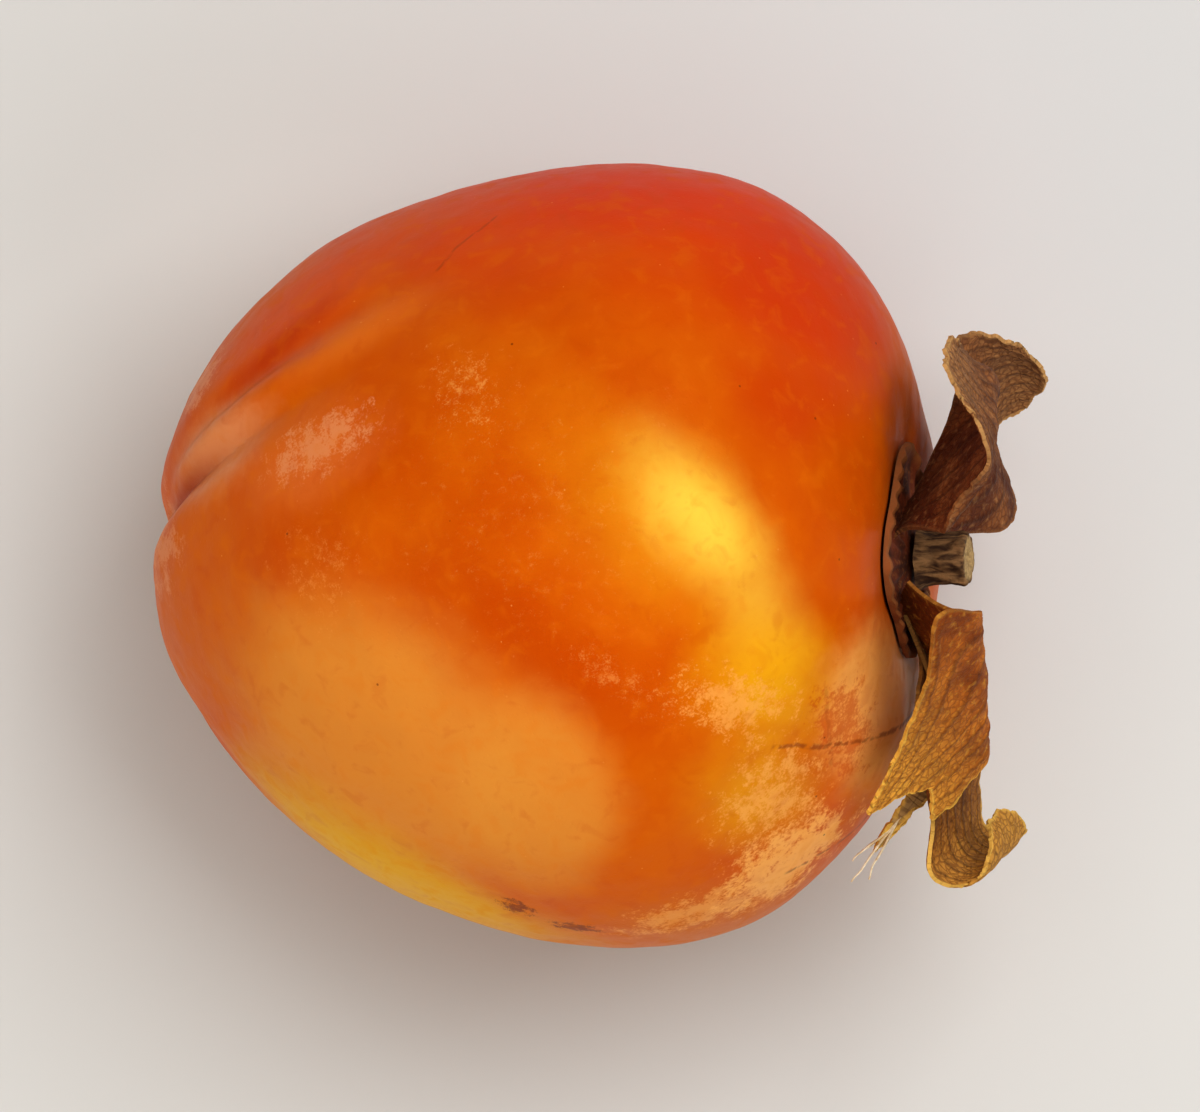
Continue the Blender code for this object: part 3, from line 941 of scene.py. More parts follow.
@dataclass(frozen=True)
class Fold:
    """A bend of a sepal about a straight line, as a thin dry leaf bends.

    The line passes through the point that is along and across from the root. At slant 0 it lies
    square across the sepal, and its far side is what bends. angle is above 0 where that part
    turns back towards the fruit. radius is that of the bend.
    """

    along: float
    across: float
    slant: float
    angle: float
    radius: float

    def bend(self, points: Array) -> Array:
        """The sheet's points after the fold: along, across and off the sheet."""
        slant, angle = math.radians(self.slant), math.radians(self.angle)
        forward = np.array([math.cos(slant), -math.sin(slant), 0.0])
        line = np.array([math.sin(slant), math.cos(slant), 0.0])
        hinge = np.array([self.along, self.across, 0.0])
        offset = (points - hinge) * np.array([1, 1, 0])
        beyond = offset @ forward
        way = -1 if self.angle > 0 else 1
        turned = np.minimum(np.maximum(beyond, 0) / self.radius, abs(angle))
        rest = beyond - self.radius * turned
        inner = self.radius - way * points[:, 2]
        moved = inner * np.sin(turned) + rest * np.cos(turned)
        height = way * (self.radius - inner * np.cos(turned) + rest * np.sin(turned))
        place = hinge + moved[:, None] * forward + (offset @ line)[:, None] * line
        place[:, 2] = height
        return np.where((beyond > 0)[:, None], place, points)


@dataclass(frozen=True)
class Notch:
    """A dip in a sepal's margin: its side, its place along, its depth and its half span."""

    side: int
    centre: float
    depth: float
    span: float


@dataclass(frozen=True)
class Arch:
    """A bite out of a sepal's end: its middle across, its depth and its half span across."""

    centre: float
    depth: float
    span: float

    def cut(self, share: Array, out: Array) -> Array:
        """How much shorter the sepal is at each point."""
        return self.depth * np.exp(-(((out - self.centre) / self.span) ** 2)) * share**2


@dataclass(frozen=True)
class SepalFinish:
    """Dry sepal: golden to purple brown, with dark veins, a fine net and a pale thin margin; it is paler
    towards its tip and darker at its root, partly its own tone and partly painted light and shade.
    """

    name: str = "sepal"
    pale: Colour = srgb(232, 170, 66)
    middle: Colour = srgb(196, 112, 34)
    dark: Colour = srgb(138, 68, 16)
    vein: Colour = srgb(84, 36, 8)
    margin: Colour = srgb(238, 190, 84)
    # The root's colour: partly a browner base, partly painted shade.
    root: Colour = srgb(100, 40, 10)
    tip_from: float = 14.0
    tip_to: float = 30.0
    net: float = 0.78

    def make(self) -> bpy.types.Material:
        """Builds the material, on the sheet's own flat coordinates in millimetres."""
        made = Finish(self.name)
        sheet = made.attribute("sheet", "Vector")
        flat = made.stretched(sheet, (1, 1, 0))
        along, inset = made.part(sheet, "X"), made.part(sheet, "Z")
        broad = made.mottle(flat, 5.0, 4, 0.5)
        fine = made.mottle(flat, 0.9, 5, 0.3)
        colour = made.mix(broad.step(0.32, 0.68), self.dark, self.middle)
        # Paler towards the tip: partly the sepal's own tone, partly painted light on its lit part.
        lit = along.step(self.tip_from, self.tip_to) * 0.75 + broad.step(0.55, 0.80) * 0.35
        colour = made.mix(lit, colour, self.pale)
        # Darker at the root: partly a browner base, partly painted shade where the sepal sits in the basin.
        colour = made.mix(along.step(9.0, 2.0) * 0.8, colour, self.root)
        warped = made.add(
            "ShaderNodeVectorMath",
            {"operation": "ADD"},
            {0: flat, 1: made.stretched(made.add("ShaderNodeTexNoise", None,
             {"Vector": flat, "Scale": 0.9, "Detail": 2.0}, out="Color"), (0.7, 0.7, 0))},
        )
        cells = {"Vector": warped, "Scale": 1 / self.net}
        net = made.add("ShaderNodeTexVoronoi", {"feature": "DISTANCE_TO_EDGE"}, cells)
        lines = net.step(0.16, 0.02)
        colour = made.mix(lines * (0.25 + 0.45 * fine), colour, self.dark)
        colour = made.mix(fine.step(0.52, 0.74) * 0.45, colour, self.pale)
        colour = made.mix(fine.step(0.46, 0.26) * 0.50, colour, self.vein)
        vein = made.attribute("vein")
        colour = made.mix(vein.step(0.25, 0.95) * (0.10 + 0.6 * broad), colour, self.vein)
        rim = (inset + (fine - 0.5) * 0.8).step(0.60, 0.05)
        colour = made.mix(rim * (0.15 + 0.6 * along.step(16, 26)), colour, self.margin)
        relief = vein * 0.55 + lines * 0.35 + fine * 0.5
        return made.close(
            Base_Color=colour,
            Roughness=0.62 + 0.16 * broad,
            Specular_IOR_Level=0.22,
            Normal=made.bump(relief, 0.00022, 0.85),
        )


@dataclass
class Sepal:
    """One dry sepal: its flat outline, the folds that make its shape, and its fine edge.

    azimuth places its root round the core, lean turns it sideways in its own plane and lift is
    its slope out of the basin. widths are its half widths towards smaller and larger azimuths,
    and tip_widths those at its end. twist is how far it turns about its own middle line by its
    end. crinkle is the height of its fine waves.
    """

    name: str
    form: FruitForm
    rest: Rest
    azimuth: float
    lean: float
    lift: float
    length: float
    widths: tuple[float, float]
    tip_widths: tuple[float, float]
    ripple: float
    notches: tuple[Notch, ...]
    folds: tuple[Fold, ...]
    finish: SepalFinish = SepalFinish()
    arch: Arch = Arch(0.0, 0.0, 1.0)
    twist: float = 0.0
    root: float = 0.0055
    root_width: float = 0.0036
    root_rise: float = 0.0016
    rounding: float = 0.11
    waves: float = 11
    thickness: float = 0.00042
    crinkle: float = 0.00022
    ragged: float = 0.0007
    veins: int = 9
    cells: tuple[int, int] = (120, 100)
    seed: float = 1.0

    def half_width(self, side: Array, share: Array) -> Array:
        """The half width on each point's side, at its share of the length."""
        full = np.where(side < 0, *self.widths)
        tip = np.where(side < 0, *self.tip_widths)
        wide = self.root_width + (full - self.root_width) * ease(share, 0.0, 0.45)
        wide = wide + (tip - full) * ease(share, 0.5, 1.05)
        for notch in self.notches:
            dip = notch.depth * np.exp(-(((share - notch.centre) / notch.span) ** 2))
            wide = wide - np.where(side == notch.side, dip, 0.0)
        return wide

    def flat(self, share: Array, out: Array) -> tuple[Array, Array]:
        """The flat sheet, with its ragged edge and crinkles.

        Args:
            share: The share of the length, one a point.
            out: The share of the half width, from -1 to 1.

        Returns:
            The flat points before folding, and each point's distance from the margin.
        """
        side = np.where(out < 0, -1, 1)
        edge = np.stack([share * 40, side * 9.0, np.zeros_like(share)], axis=1)
        torn = rough(edge, 0.35, 4, self.seed) * self.ragged * ease(share, 0.25, 0.6)
        wide = self.half_width(side, share) + torn
        tip = np.stack([out * 12, np.full_like(out, 3.0), np.zeros_like(out)], axis=1)
        end = rough(tip, 0.35, 4, self.seed + 5) * self.ragged
        reach = self.length * (share - self.rounding * out**2 * share**4) + end * share**6
        reach = reach - self.arch.cut(share, out)
        wave = self.ripple * np.sin(self.waves * share + 2 * side) * out**2
        turn = math.radians(self.twist) * ease(share, 0.15, 0.7)
        across = out * wide * np.cos(turn) - wave * np.sin(turn)
        rise = out * wide * np.sin(turn) + wave * np.cos(turn)
        points = np.stack([reach, across, rise], axis=1)
        creased = rough(points, 180, 4, self.seed + 9) + 0.5 * rough(points, 520, 3, self.seed + 2)
        points[:, 2] += self.crinkle * creased * ease(share, 0.12, 0.35)
        inset = np.minimum((1 - np.abs(out)) * wide, (1 - share) * self.length)
        return points, inset

    def vein(self, points: Array, share: Array, out: Array) -> Array:
        """How near each flat point is to a vein, from 0 to 1: they fan out from the root."""
        bent = out * (0.55 + 0.45 * share) + 0.05 * rough(points, 90, 2, self.seed + 4)
        phase = bent * self.veins / 2
        near = np.abs(phase - np.round(phase)) / (self.veins / 2)
        width = 0.020 + 0.018 * (1 - share)
        return np.exp(-((near / width) ** 2)) * ease(share, 0.02, 0.2) * ease(np.abs(out), 1.0, 0.9)

    def surface(self, flat: Array) -> Array:
        """The flat points after every fold, in the frame's axes."""
        away, across = outward(self.azimuth), sideways(self.azimuth)
        core_way = np.array([1.0, 0.0, 0.0])
        lift, lean = math.radians(self.lift), math.radians(self.lean)
        along = away * math.cos(lift) + core_way * math.sin(lift)
        off = core_way * math.cos(lift) - away * math.sin(lift)
        floor = float(self.form.basin(self.root, self.azimuth)[0]) + GAP
        start = away * self.root + core_way * (floor + self.root_rise)
        for fold in self.folds:
            flat = fold.bend(flat)
        x = flat[:, 0] * math.cos(lean) - flat[:, 1] * math.sin(lean)
        y = flat[:, 0] * math.sin(lean) + flat[:, 1] * math.cos(lean)
        points = start + np.outer(x, along) + np.outer(y, across) + np.outer(flat[:, 2], off)
        return self.rest.place(points)

    def build(self) -> bpy.types.Object:
        """Models the sepal from a grid, folds it and gives it its thickness.

        Returns:
            The finished piece.
        """
        deselect()
        rows, columns = self.cells
        bpy.ops.mesh.primitive_grid_add(x_subdivisions=rows, y_subdivisions=columns, size=2)
        piece = bpy.context.object
        piece.name = self.name
        grid = points_of(piece)
        share, out = (grid[:, 0] + 1) / 2, grid[:, 1]
        flat, inset = self.flat(share, out)
        vein = self.vein(flat, share, out)
        set_attribute(piece, "sheet", np.stack([flat[:, 0], flat[:, 1], inset], axis=1) / MM)
        set_attribute(piece, "vein", vein)
        flat[:, 2] += 0.00010 * vein
        set_points(piece, self.surface(flat))
        finish_modifier(piece, "SOLIDIFY", thickness=self.thickness, offset=0.0)
        smooth(piece, 60)
        piece.data.materials.clear()
        piece.data.materials.append(self.finish.make())
        return mount(piece, "dry_sepal", "calyx")


@dataclass(frozen=True)
class DiscFinish:
    """The calyx's leathery middle: purple brown, with radial streaks and a paler rim."""

    middle: Colour = srgb(120, 52, 20)
    dark: Colour = srgb(70, 30, 14)
    rim: Colour = srgb(168, 104, 52)

    def make(self, core: Sequence[float]) -> bpy.types.Material:
        """Builds the material.

        Args:
            core: The middle of the disc in the frame, in metres.

        Returns:
            The material.
        """
        made = Finish("calyx_disc")
        at = made.place(core)
        broad = made.mottle(at, 3.0, 4, 0.5)
        fine = made.mottle(at, 0.6, 4)
        ring = made.attribute("ring")
        colour = made.mix(broad.step(0.35, 0.65), self.dark, self.middle)
        colour = made.mix(fine.step(0.50, 0.75) * 0.5, colour, self.rim)
        colour = made.mix(ring.step(0.86, 1.0) * 0.7, colour, self.rim)
        return made.close(
            Base_Color=colour,
            Roughness=0.65 + 0.15 * fine,
            Specular_IOR_Level=0.35,
            Normal=made.bump(broad * 0.5 + fine * 0.5, 0.0002, 0.8),
        )


@dataclass
class CalyxDisc:
    """The middle of the calyx, which follows the basin's floor and has a thin raised rim."""

    form: FruitForm
    rest: Rest
    radius: float = 0.0105
    thickness: float = 0.0030
    edge: float = 0.0005
    rings: int = 24
    sides: int = 144
    rim_height: float = 0.0004
    unevenness: float = 0.0005
    finish: DiscFinish = DiscFinish()

    def _lift(self, radius: Array, azimuth: Array) -> Array:
        """How high the upper face stands over the basin's floor."""
        share = radius / self.radius
        height = self.edge + (self.thickness - self.edge) * ease(radius, self.radius, 0)
        rim = self.rim_height * np.exp(-(((share - 0.95) / 0.05) ** 2))
        ribs = 0.00018 * np.cos(np.radians(azimuth + 7) * 28) * ease(share, 0.2, 0.6)
        seams = -0.0003 * np.exp(-((turn_between(azimuth * 4, 20) / 22) ** 2)) * ease(share, 0.3, 0.9)
        return height + rim + ribs + seams

    def build(self) -> bpy.types.Object:
        """Models the disc from a circle by insets and one extrusion, and lays it in the basin.

        Returns:
            The finished piece.
        """
        deselect()
        bpy.ops.mesh.primitive_circle_add(
            vertices=self.sides, radius=self.radius, fill_type="NGON"
        )
        piece = bpy.context.object
        piece.name = "calyx_disc"
        with editing(piece):
            for _ in range(self.rings - 1):
                bpy.ops.mesh.inset(thickness=self.radius / self.rings)
            bpy.ops.mesh.poke()
            bpy.ops.mesh.select_all(action="SELECT")
            down = {"value": (0, 0, -self.thickness)}
            bpy.ops.mesh.extrude_region_move(TRANSFORM_OT_translate=down)
            bpy.ops.mesh.select_all(action="SELECT")
            bpy.ops.mesh.normals_make_consistent(inside=False)
        points = points_of(piece)
        radius = np.hypot(points[:, 0], points[:, 1])
        azimuth = np.degrees(np.arctan2(points[:, 1], -points[:, 0]))
        outline = np.stack([np.cos(np.radians(azimuth)), np.sin(np.radians(azimuth)),
                            np.zeros_like(azimuth)], axis=1)
        share = radius / self.radius
        reach = radius + self.unevenness * rough(outline, 2.6, 3, 1.7) * share**4
        floor = self.form.basin(reach, azimuth)
        upper = points[:, 2] > -self.thickness / 2
        lift = np.where(upper, self._lift(radius, azimuth), 0.0) + GAP
        floor[:, 0] += lift + np.where(upper, 0.00012 * rough(floor, 500, 3, 4.0), 0.0)
        set_points(piece, self.rest.place(floor))
        set_attribute(piece, "ring", share)
        smooth(piece, 50)
        piece.data.materials.append(self.finish.make(tuple(self.rest.core)))
        return mount(piece, "dry_sepal", "calyx")


@dataclass(frozen=True)
class WoodFinish:
    """Dry woody skin, with a pale cut face where one is wanted."""

    name: str
    dark: Colour
    light: Colour
    cut: Colour
    grain: float = 0.35

    def make(self, core: Sequence[float]) -> bpy.types.Material:
        """Builds the material.

        Args:
            core: The origin of the grain, in metres.

        Returns:
            The material.
        """
        made = Finish(self.name)
        at = made.place(core)
        streaks = made.mottle(made.stretched(at, (0.25, 1, 1)), self.grain * 2, 4, 0.4)
        fine = made.mottle(at, self.grain, 3)
        colour = made.mix(streaks.step(0.35, 0.68), self.dark, self.light)
        cut = made.attribute("cut")
        rings = made.mottle(at, self.grain, 2).step(0.35, 0.65)
        colour = made.mix(cut * (0.55 + 0.4 * rings), colour, self.cut)
        return made.close(
            Base_Color=colour,
            Roughness=0.80,
            Specular_IOR_Level=0.25,
            Normal=made.bump(streaks * 0.6 + fine * 0.4, 0.0003, 0.9),
        )


@dataclass
class StemStub:
    """The woody stub of the stem, flared where it meets the calyx and snipped off."""

    form: FruitForm
    rest: Rest
    radius: float = 0.0027
    length: float = 0.0055
    seat_thickness: float = 0.0030
    sides: int = 64
    stations: tuple[tuple[float, float], ...] = (
        (0.0, 1.35), (0.08, 1.20), (0.18, 1.08), (0.30, 1.02), (0.45, 1.0), (0.62, 1.01),
        (0.80, 1.03), (0.90, 1.05), (0.96, 1.05), (1.0, 0.98),
    )
    finish: WoodFinish = WoodFinish(
        "woody_stem", srgb(66, 42, 26), srgb(150, 112, 72), srgb(196, 164, 112)
    )

    def build(self) -> bpy.types.Object:
        """Models the stub from a circle, extruded station by station up the core.

        Returns:
            The finished piece.
        """
        deselect()
        wide = self.stations[0][1]
        bpy.ops.mesh.primitive_circle_add(
            vertices=self.sides, radius=self.radius * wide, fill_type="NGON"
        )
        piece = bpy.context.object
        piece.name = "stem_stub_wood"
        with editing(piece):
            for (low, before), (high, after) in zip(self.stations, self.stations[1:]):
                rise = {"value": (0, 0, self.length * (high - low))}
                bpy.ops.mesh.extrude_region_move(TRANSFORM_OT_translate=rise)
                bpy.ops.transform.resize(value=(after / before, after / before, 1))
            for share in (0.22, 0.22, 0.22):
                bpy.ops.mesh.inset(thickness=self.radius * share)
            bpy.ops.mesh.select_all(action="SELECT")
            bpy.ops.mesh.normals_make_consistent(inside=False)
        finish_modifier(piece, "SUBSURF", levels=1, render_levels=1)
        points = points_of(piece)
        radius = np.hypot(points[:, 0], points[:, 1])
        azimuth = np.arctan2(points[:, 1], -points[:, 0])
        share = points[:, 2] / self.length
        skin = ease(radius, 0.0, self.radius * 0.8)
        bark = 0.05 * np.cos(7 * azimuth + 2 * share) + 0.09 * rough(points, 700, 3, 2.0)
        radius = radius * (1 + bark * skin)
        top = ease(share, 0.90, 0.99)
        cut = top * (0.00016 * rough(points, 900, 3, 6.0) - 0.0004 * np.exp(-((radius / 0.0008) ** 2)))
        along = self.form.seat() + self.seat_thickness + GAP + points[:, 2] + cut
        across = np.stack([np.zeros_like(radius), np.sin(azimuth), np.cos(azimuth)], axis=1)
        placed = across * radius[:, None] + np.outer(along, [1, 0, 0])
        set_points(piece, self.rest.place(placed))
        set_attribute(piece, "cut", top * ease(radius, self.radius * 0.95, self.radius * 0.75))
        smooth(piece, 50)
        core = self.rest.place(np.array([[self.form.seat(), 0, 0]]))[0]
        piece.data.materials.append(self.finish.make(tuple(core)))
        return mount(piece, "woody_stem", "stem_stub")


@dataclass
class StyleTip:
    """The withered point of the flower's style, dark and twisted, in the blossom end's dimple."""

    form: FruitForm
    rest: Rest
    radius: float = 0.0014
    length: float = 0.0014
    sides: int = 40
    rings: int = 8
    finish: WoodFinish = WoodFinish(
        "withered_style", srgb(40, 24, 15), srgb(104, 68, 40), srgb(104, 68, 40), 0.25
    )

    def build(self) -> bpy.types.Object:
        """Models the tip from a circle, drawn out ring by ring, with four withered ridges.

        Returns:
            The finished piece.
        """
        deselect()
        bpy.ops.mesh.primitive_circle_add(
            vertices=self.sides, radius=self.radius, fill_type="NGON"
        )
        piece = bpy.context.object
        piece.name = "style_tip_withered"
        with editing(piece):
            for number in range(self.rings):
                rise = {"value": (0, 0, self.length / self.rings)}
                bpy.ops.mesh.extrude_region_move(TRANSFORM_OT_translate=rise)
                narrower = (1 - 0.85 * (number + 1) / self.rings) / (1 - 0.85 * number / self.rings)
                bpy.ops.transform.resize(value=(narrower, narrower, 1))
            bpy.ops.mesh.select_all(action="SELECT")
            bpy.ops.mesh.normals_make_consistent(inside=False)
        finish_modifier(piece, "SUBSURF", levels=1, render_levels=1)
        points = points_of(piece)
        share = points[:, 2] / self.length
        azimuth = np.arctan2(points[:, 1], points[:, 0]) + 0.9 * share
        radius = np.hypot(points[:, 0], points[:, 1])
        radius = radius * (0.94 + 0.06 * np.cos(4 * azimuth) + 0.22 * rough(points, 1300, 3, 8.0))
        along = float(self.form.skin(0.0, 0.0)[0]) - GAP - points[:, 2]
        placed = np.stack([along, radius * np.sin(azimuth), radius * np.cos(azimuth)], axis=1)
        set_points(piece, self.rest.place(placed))
        set_attribute(piece, "cut", np.zeros(len(points)))
        with editing(piece):
            bpy.ops.mesh.normals_make_consistent(inside=False)
        smooth(piece, 60)
        core = self.rest.place(np.array([[-self.form.blossom_length, 0, 0]]))[0]
        piece.data.materials.append(self.finish.make(tuple(core)))
        return mount(piece, "withered_style", "style_tip")


@dataclass(frozen=True)
class Fibre:
    """One loose fibre: where it ends as a share of the strip, and how far it strays by then."""

    end: float
    aside: float
    above: float


@dataclass
class FrayedEnd:
    """The pale fibres that hang from the end of the torn strip."""

    strip: Sepal
    start: float = 0.84
    half_width: float = 0.00018
    sides: int = 7
    steps: int = 16
    strays: float = 0.00035
    fibres: tuple[Fibre, ...] = (
        Fibre(1.10, -0.0013, 0.0006), Fibre(1.14, 0.0001, 0.0012), Fibre(1.08, 0.0014, 0.0004),
        Fibre(1.05, 0.0006, -0.0009), Fibre(1.02, -0.0006, 0.0010),
    )
    finish: WoodFinish = WoodFinish(
        "pale_fibre", srgb(214, 190, 148), srgb(244, 232, 204), srgb(244, 232, 204), 0.5
    )

    def _path(self, fibre: Fibre) -> Array:
        """The fibre's middle line, one point a station, in the frame's axes."""
        share = np.linspace(0, 1, self.steps + 1)
        stray = np.stack([share * 3, np.full_like(share, 900 * fibre.aside), share], axis=1)
        aside = fibre.aside * share**1.4 + self.strays * rough(stray, 1.1, 2, 3.0) * share
        above = fibre.above * share**1.4 + self.strays * rough(stray, 1.1, 2, 9.0) * share
        turn = math.radians(self.strip.twist)
        flat = np.stack(
            [
                self.strip.length * (self.start + (fibre.end - self.start) * share),
                aside * math.cos(turn) - above * math.sin(turn),
                aside * math.sin(turn) + above * math.cos(turn),
            ],
            axis=1,
        )
        return self.strip.surface(flat)

    def _fibre(self, fibre: Fibre) -> bpy.types.Object:
        """Extrudes one fibre from a circle and lays it along its path."""
        deselect()
        bpy.ops.mesh.primitive_circle_add(
            vertices=self.sides, radius=self.half_width, fill_type="NGON"
        )
        piece = bpy.context.object
        with editing(piece):
            for _ in range(self.steps):
                bpy.ops.mesh.extrude_region_move(TRANSFORM_OT_translate={"value": (0, 0, MM)})
            bpy.ops.mesh.select_all(action="SELECT")
            bpy.ops.mesh.normals_make_consistent(inside=False)
        points = points_of(piece)
        station = np.rint(points[:, 2] / MM).astype(int)
        path = self._path(fibre)
        ahead = np.gradient(path, axis=0)
        ahead = ahead / np.linalg.norm(ahead, axis=1)[:, None]
        side = np.cross(ahead, np.array([0.0, 0.0, 1.0]))
        side = side / np.linalg.norm(side, axis=1)[:, None]
        up = np.cross(side, ahead)
        taper = 1 - 0.5 * station / self.steps
        moved = side[station] * (points[:, 0] * taper)[:, None]
        moved = moved - up[station] * (points[:, 1] * taper)[:, None]
        set_points(piece, path[station] + moved)
        set_attribute(piece, "cut", np.zeros(len(points)))
        with editing(piece):
            bpy.ops.mesh.normals_make_consistent(inside=False)
        return piece

    def build(self) -> bpy.types.Object:
        """Models the fibres and joins them.

        Returns:
            The finished piece.
        """
        made = [self._fibre(fibre) for fibre in self.fibres]
        deselect()
        for piece in made:
            piece.select_set(True)
        bpy.context.view_layer.objects.active = made[0]
        bpy.ops.object.join()
        piece = bpy.context.object
        piece.name = "strip_fibres"
        smooth(piece, 60)
        core = self.strip.rest.core
        piece.data.materials.append(self.finish.make(tuple(core)))
        return mount(piece, "dry_sepal", "calyx")


@dataclass
class Calyx:
    """The calyx: its disc, four sepals and a torn strip with frayed fibres."""

    form: FruitForm
    rest: Rest

    def sepals(self) -> list[Sepal]:
        """The four sepals and the torn strip, each with its own folds and tone."""
        golden = SepalFinish("golden_sepal")
        olive = SepalFinish(
            "olive_sepal", pale=srgb(218, 162, 72), middle=srgb(172, 108, 44), dark=srgb(114, 62, 24),
            vein=srgb(64, 32, 14), margin=srgb(232, 188, 94), tip_from=20, tip_to=34,
        )
        brown = SepalFinish(
            "brown_sepal", pale=srgb(190, 140, 88), middle=srgb(150, 92, 48), dark=srgb(92, 44, 24),
            vein=srgb(60, 26, 16), margin=srgb(206, 160, 100),
        )
        straw = SepalFinish(
            "straw_strip", pale=srgb(196, 162, 104), middle=srgb(150, 108, 58),
            dark=srgb(104, 66, 34), vein=srgb(80, 46, 24), root=srgb(96, 52, 24),
        )
        return [
            Sepal("sepal_reflexed", self.form, self.rest, -44, -28, 53, 0.0329,
                  (0.0098, 0.0118), (0.0091, 0.0032), 0.0001, (Notch(1, 0.41, -0.0088, 0.136),),
                  (Fold(0.0119, 0, -18.8, 93, 0.0025),), golden, Arch(-0.42, 0.0070, 0.58),
                  seed=1.0),
            Sepal("sepal_curled", self.form, self.rest, -126, 22, 29, 0.0395,
                  (0.0085, 0.0100), (0.0055, 0.0060), 0.0006, (Notch(1, 0.60, 0.0024, 0.07),),
                  (Fold(0.0265, 0, 0, -260, 0.0031), Fold(0, 0.0060, -90, -45, 0.0040),
                   Fold(0.0050, 0, 0, 28, 0.0060)), olive, seed=2.0),
            Sepal("sepal_rolled", self.form, self.rest, 50, 4, 46, 0.0280,
                  (0.0110, 0.0120), (0.0055, 0.0055), 0.0007, (Notch(1, 0.70, 0.0018, 0.07),),
                  (Fold(0, 0.0070, -90, 100, 0.0030), Fold(0, -0.0080, 90, 120, 0.0028),
                   Fold(0.0140, 0, -10, 70, 0.0040)), brown, seed=3.0),
            Sepal("sepal_turned_back", self.form, self.rest, 142, -8, 36, 0.0290,
                  (0.0120, 0.0110), (0.0065, 0.0065), 0.0006, (Notch(-1, 0.55, 0.0020, 0.07),),
                  (Fold(0.0190, 0, 14, -170, 0.0040), Fold(0.0080, 0, 0, 50, 0.0060)), brown,
                  seed=4.0),
            Sepal("torn_strip", self.form, self.rest, -98, 0, 23, 0.0290,
                  (0.0016, 0.0018), (0.0005, 0.0005), 0.0002, (),
                  (Fold(0.0070, 0, 0, 62, 0.0120),), straw, twist=-70, cells=(140, 24), veins=4,
                  ragged=0.0005, crinkle=0.00014, seed=5.0),
        ]

    def build(self) -> list[bpy.types.Object]:
        """Builds the disc, every sepal and the strip's frayed end."""
        sepals = self.sepals()
        pieces = [CalyxDisc(self.form, self.rest).build()]
        pieces += [sepal.build() for sepal in sepals]
        return pieces + [FrayedEnd(sepals[-1]).build()]


@dataclass(frozen=True)
class Softbox:
    """A large soft lamp that faces the fruit.

    bearing is its direction in plan, 0 along +X and 90 along +Y, and rise is its height angle.
    mirrored says whether glossy surfaces show it.
    """

    name: str
    bearing: float
    rise: float
    distance: float
    width: float
    height: float
    radiance: float
    colour: tuple[float, float, float] = (1.0, 1.0, 1.0)
    mirrored: bool = True

    def light(self, target: Array) -> None:
        """Hangs the lamp in the scene, turned to the target."""
        bearing, rise = math.radians(self.bearing), math.radians(self.rise)
        away = Vector((math.cos(bearing) * math.cos(rise), math.sin(bearing) * math.cos(rise),
                       math.sin(rise)))
        lamp = bpy.data.lights.new(self.name, "AREA")
        lamp.shape = "RECTANGLE"
        lamp.size = self.width
        lamp.size_y = self.height
        lamp.energy = self.radiance * math.pi * self.width * self.height
        lamp.color = self.colour
        holder = bpy.data.objects.new(self.name, lamp)
        bpy.context.scene.collection.objects.link(holder)
        holder.location = Vector(target) + away * self.distance
        holder.rotation_euler = away.to_track_quat("Z", "Y").to_euler()
        holder.visible_camera = False
        holder.visible_glossy = self.mirrored


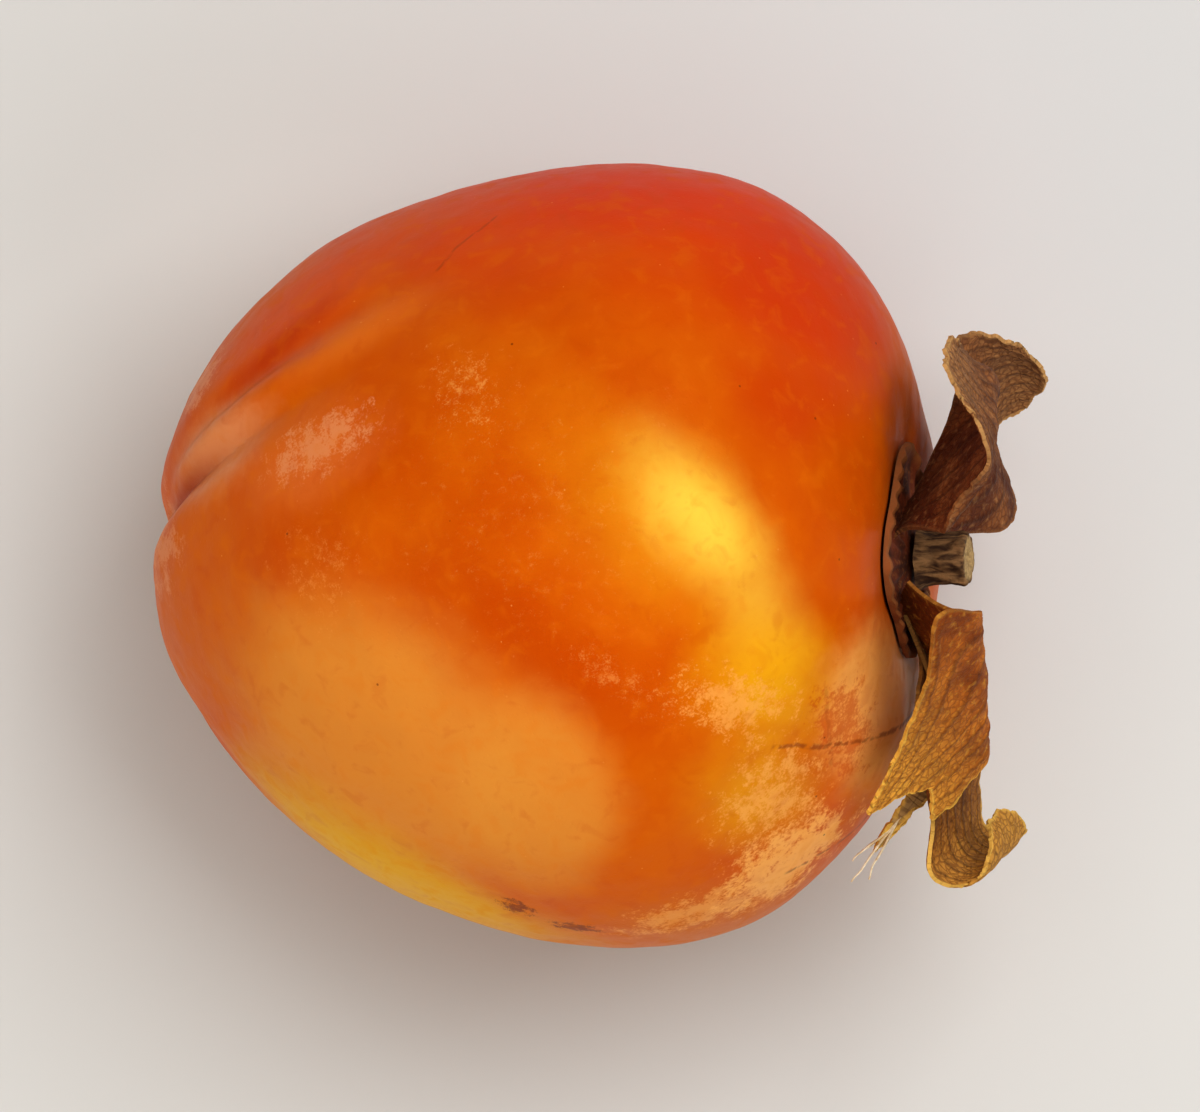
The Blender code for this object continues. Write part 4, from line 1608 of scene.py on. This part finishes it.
@dataclass
class Studio:
    """A plain pale floor, soft lamps and a camera nearly straight above the fruit."""

    lens: float = 400.0
    image: tuple[int, int] = (1200, 1112)
    pixels_per_mm: float = 9.5
    sensor: float = 36.0
    level: float = 0.040
    over: tuple[float, float] = (0.048, 0.045)
    floor_size: float = 8.0
    floor_drop: float = 0.00005
    lamps: tuple[Softbox, ...] = (
        Softbox("left_wall", 222, 22, 1.05, 2.0, 0.86, 1.3, (1.0, 0.90, 0.70)),
        Softbox("key", 40, 60, 1.0, 0.60, 0.60, 4.7),
        Softbox("overhead", 90, 64, 1.3, 1.2, 1.2, 1.75, mirrored=False),
        Softbox("right_fill", 318, 42, 1.3, 1.2, 0.9, 1.55, mirrored=False),
    )
    surroundings: float = 0.12
    exposure: float = 0.04
    gamma: float = 0.86

    def floor(self) -> None:
        """Lays the floor just under the resting spot."""
        deselect()
        bpy.ops.mesh.primitive_plane_add(size=self.floor_size, location=(0, 0, -self.floor_drop))
        plane = bpy.context.object
        plane.name = "floor"
        made = Finish("floor")
        at = made.place(per_metre=1.0)
        tone = made.mottle(at, 0.4, 3)
        colour = made.mix(tone, (0.66, 0.655, 0.64, 1), (0.69, 0.685, 0.67, 1))
        plane.data.materials.append(made.close(Base_Color=colour, Roughness=0.85))

    def light(self, target: Array) -> None:
        """Hangs the lamps and sets the surroundings."""
        for lamp in self.lamps:
            lamp.light(target)
        world = bpy.data.worlds.new("studio")
        bpy.context.scene.world = world
        world.use_nodes = True
        back = world.node_tree.nodes["Background"]
        back.inputs["Color"].default_value = (1, 1, 1, 1)
        back.inputs["Strength"].default_value = self.surroundings

    def camera(self, middle: Array) -> None:
        """Hangs the camera where the photo's was, beside the fruit, and aims it at the object."""
        seen = self.image[0] / self.pixels_per_mm * MM
        height = seen * self.lens / self.sensor
        data = bpy.data.cameras.new("camera")
        data.lens = self.lens
        data.sensor_width = self.sensor
        data.clip_end = 50.0
        holder = bpy.data.objects.new("camera", data)
        bpy.context.scene.collection.objects.link(holder)
        place = Vector((self.over[0], self.over[1], self.level + height))
        ahead = (Vector((middle[0], middle[1], self.level)) - place).normalized()
        tip = math.asin(ahead.y)
        holder.location = place
        holder.rotation_euler = (tip, math.asin(-ahead.x / math.cos(tip)), 0.0)
        bpy.context.scene.camera = holder

    def set_up(self, core: Array) -> None:
        """Builds the whole studio round the fruit, and sets how the picture is developed.

        Args:
            core: The middle of the fruit.
        """
        low, high = (np.array(corner) for corner in CAD_BOX)
        self.floor()
        self.light(core)
        self.camera((low + high) / 2)
        view = bpy.context.scene.view_settings
        view.view_transform = "Standard"
        view.exposure = self.exposure
        view.gamma = self.gamma


def main() -> None:
    """Builds the persimmon, piece by piece, and its studio."""
    logging.basicConfig(level=logging.INFO, format="%(name)s %(message)s")
    form = FruitForm()
    rest = Rest(form)
    Fruit(form, rest).build()
    Calyx(form, rest).build()
    StemStub(form, rest).build()
    StyleTip(form, rest).build()
    Studio().set_up(rest.core)


if __name__ == "__main__":
    main()
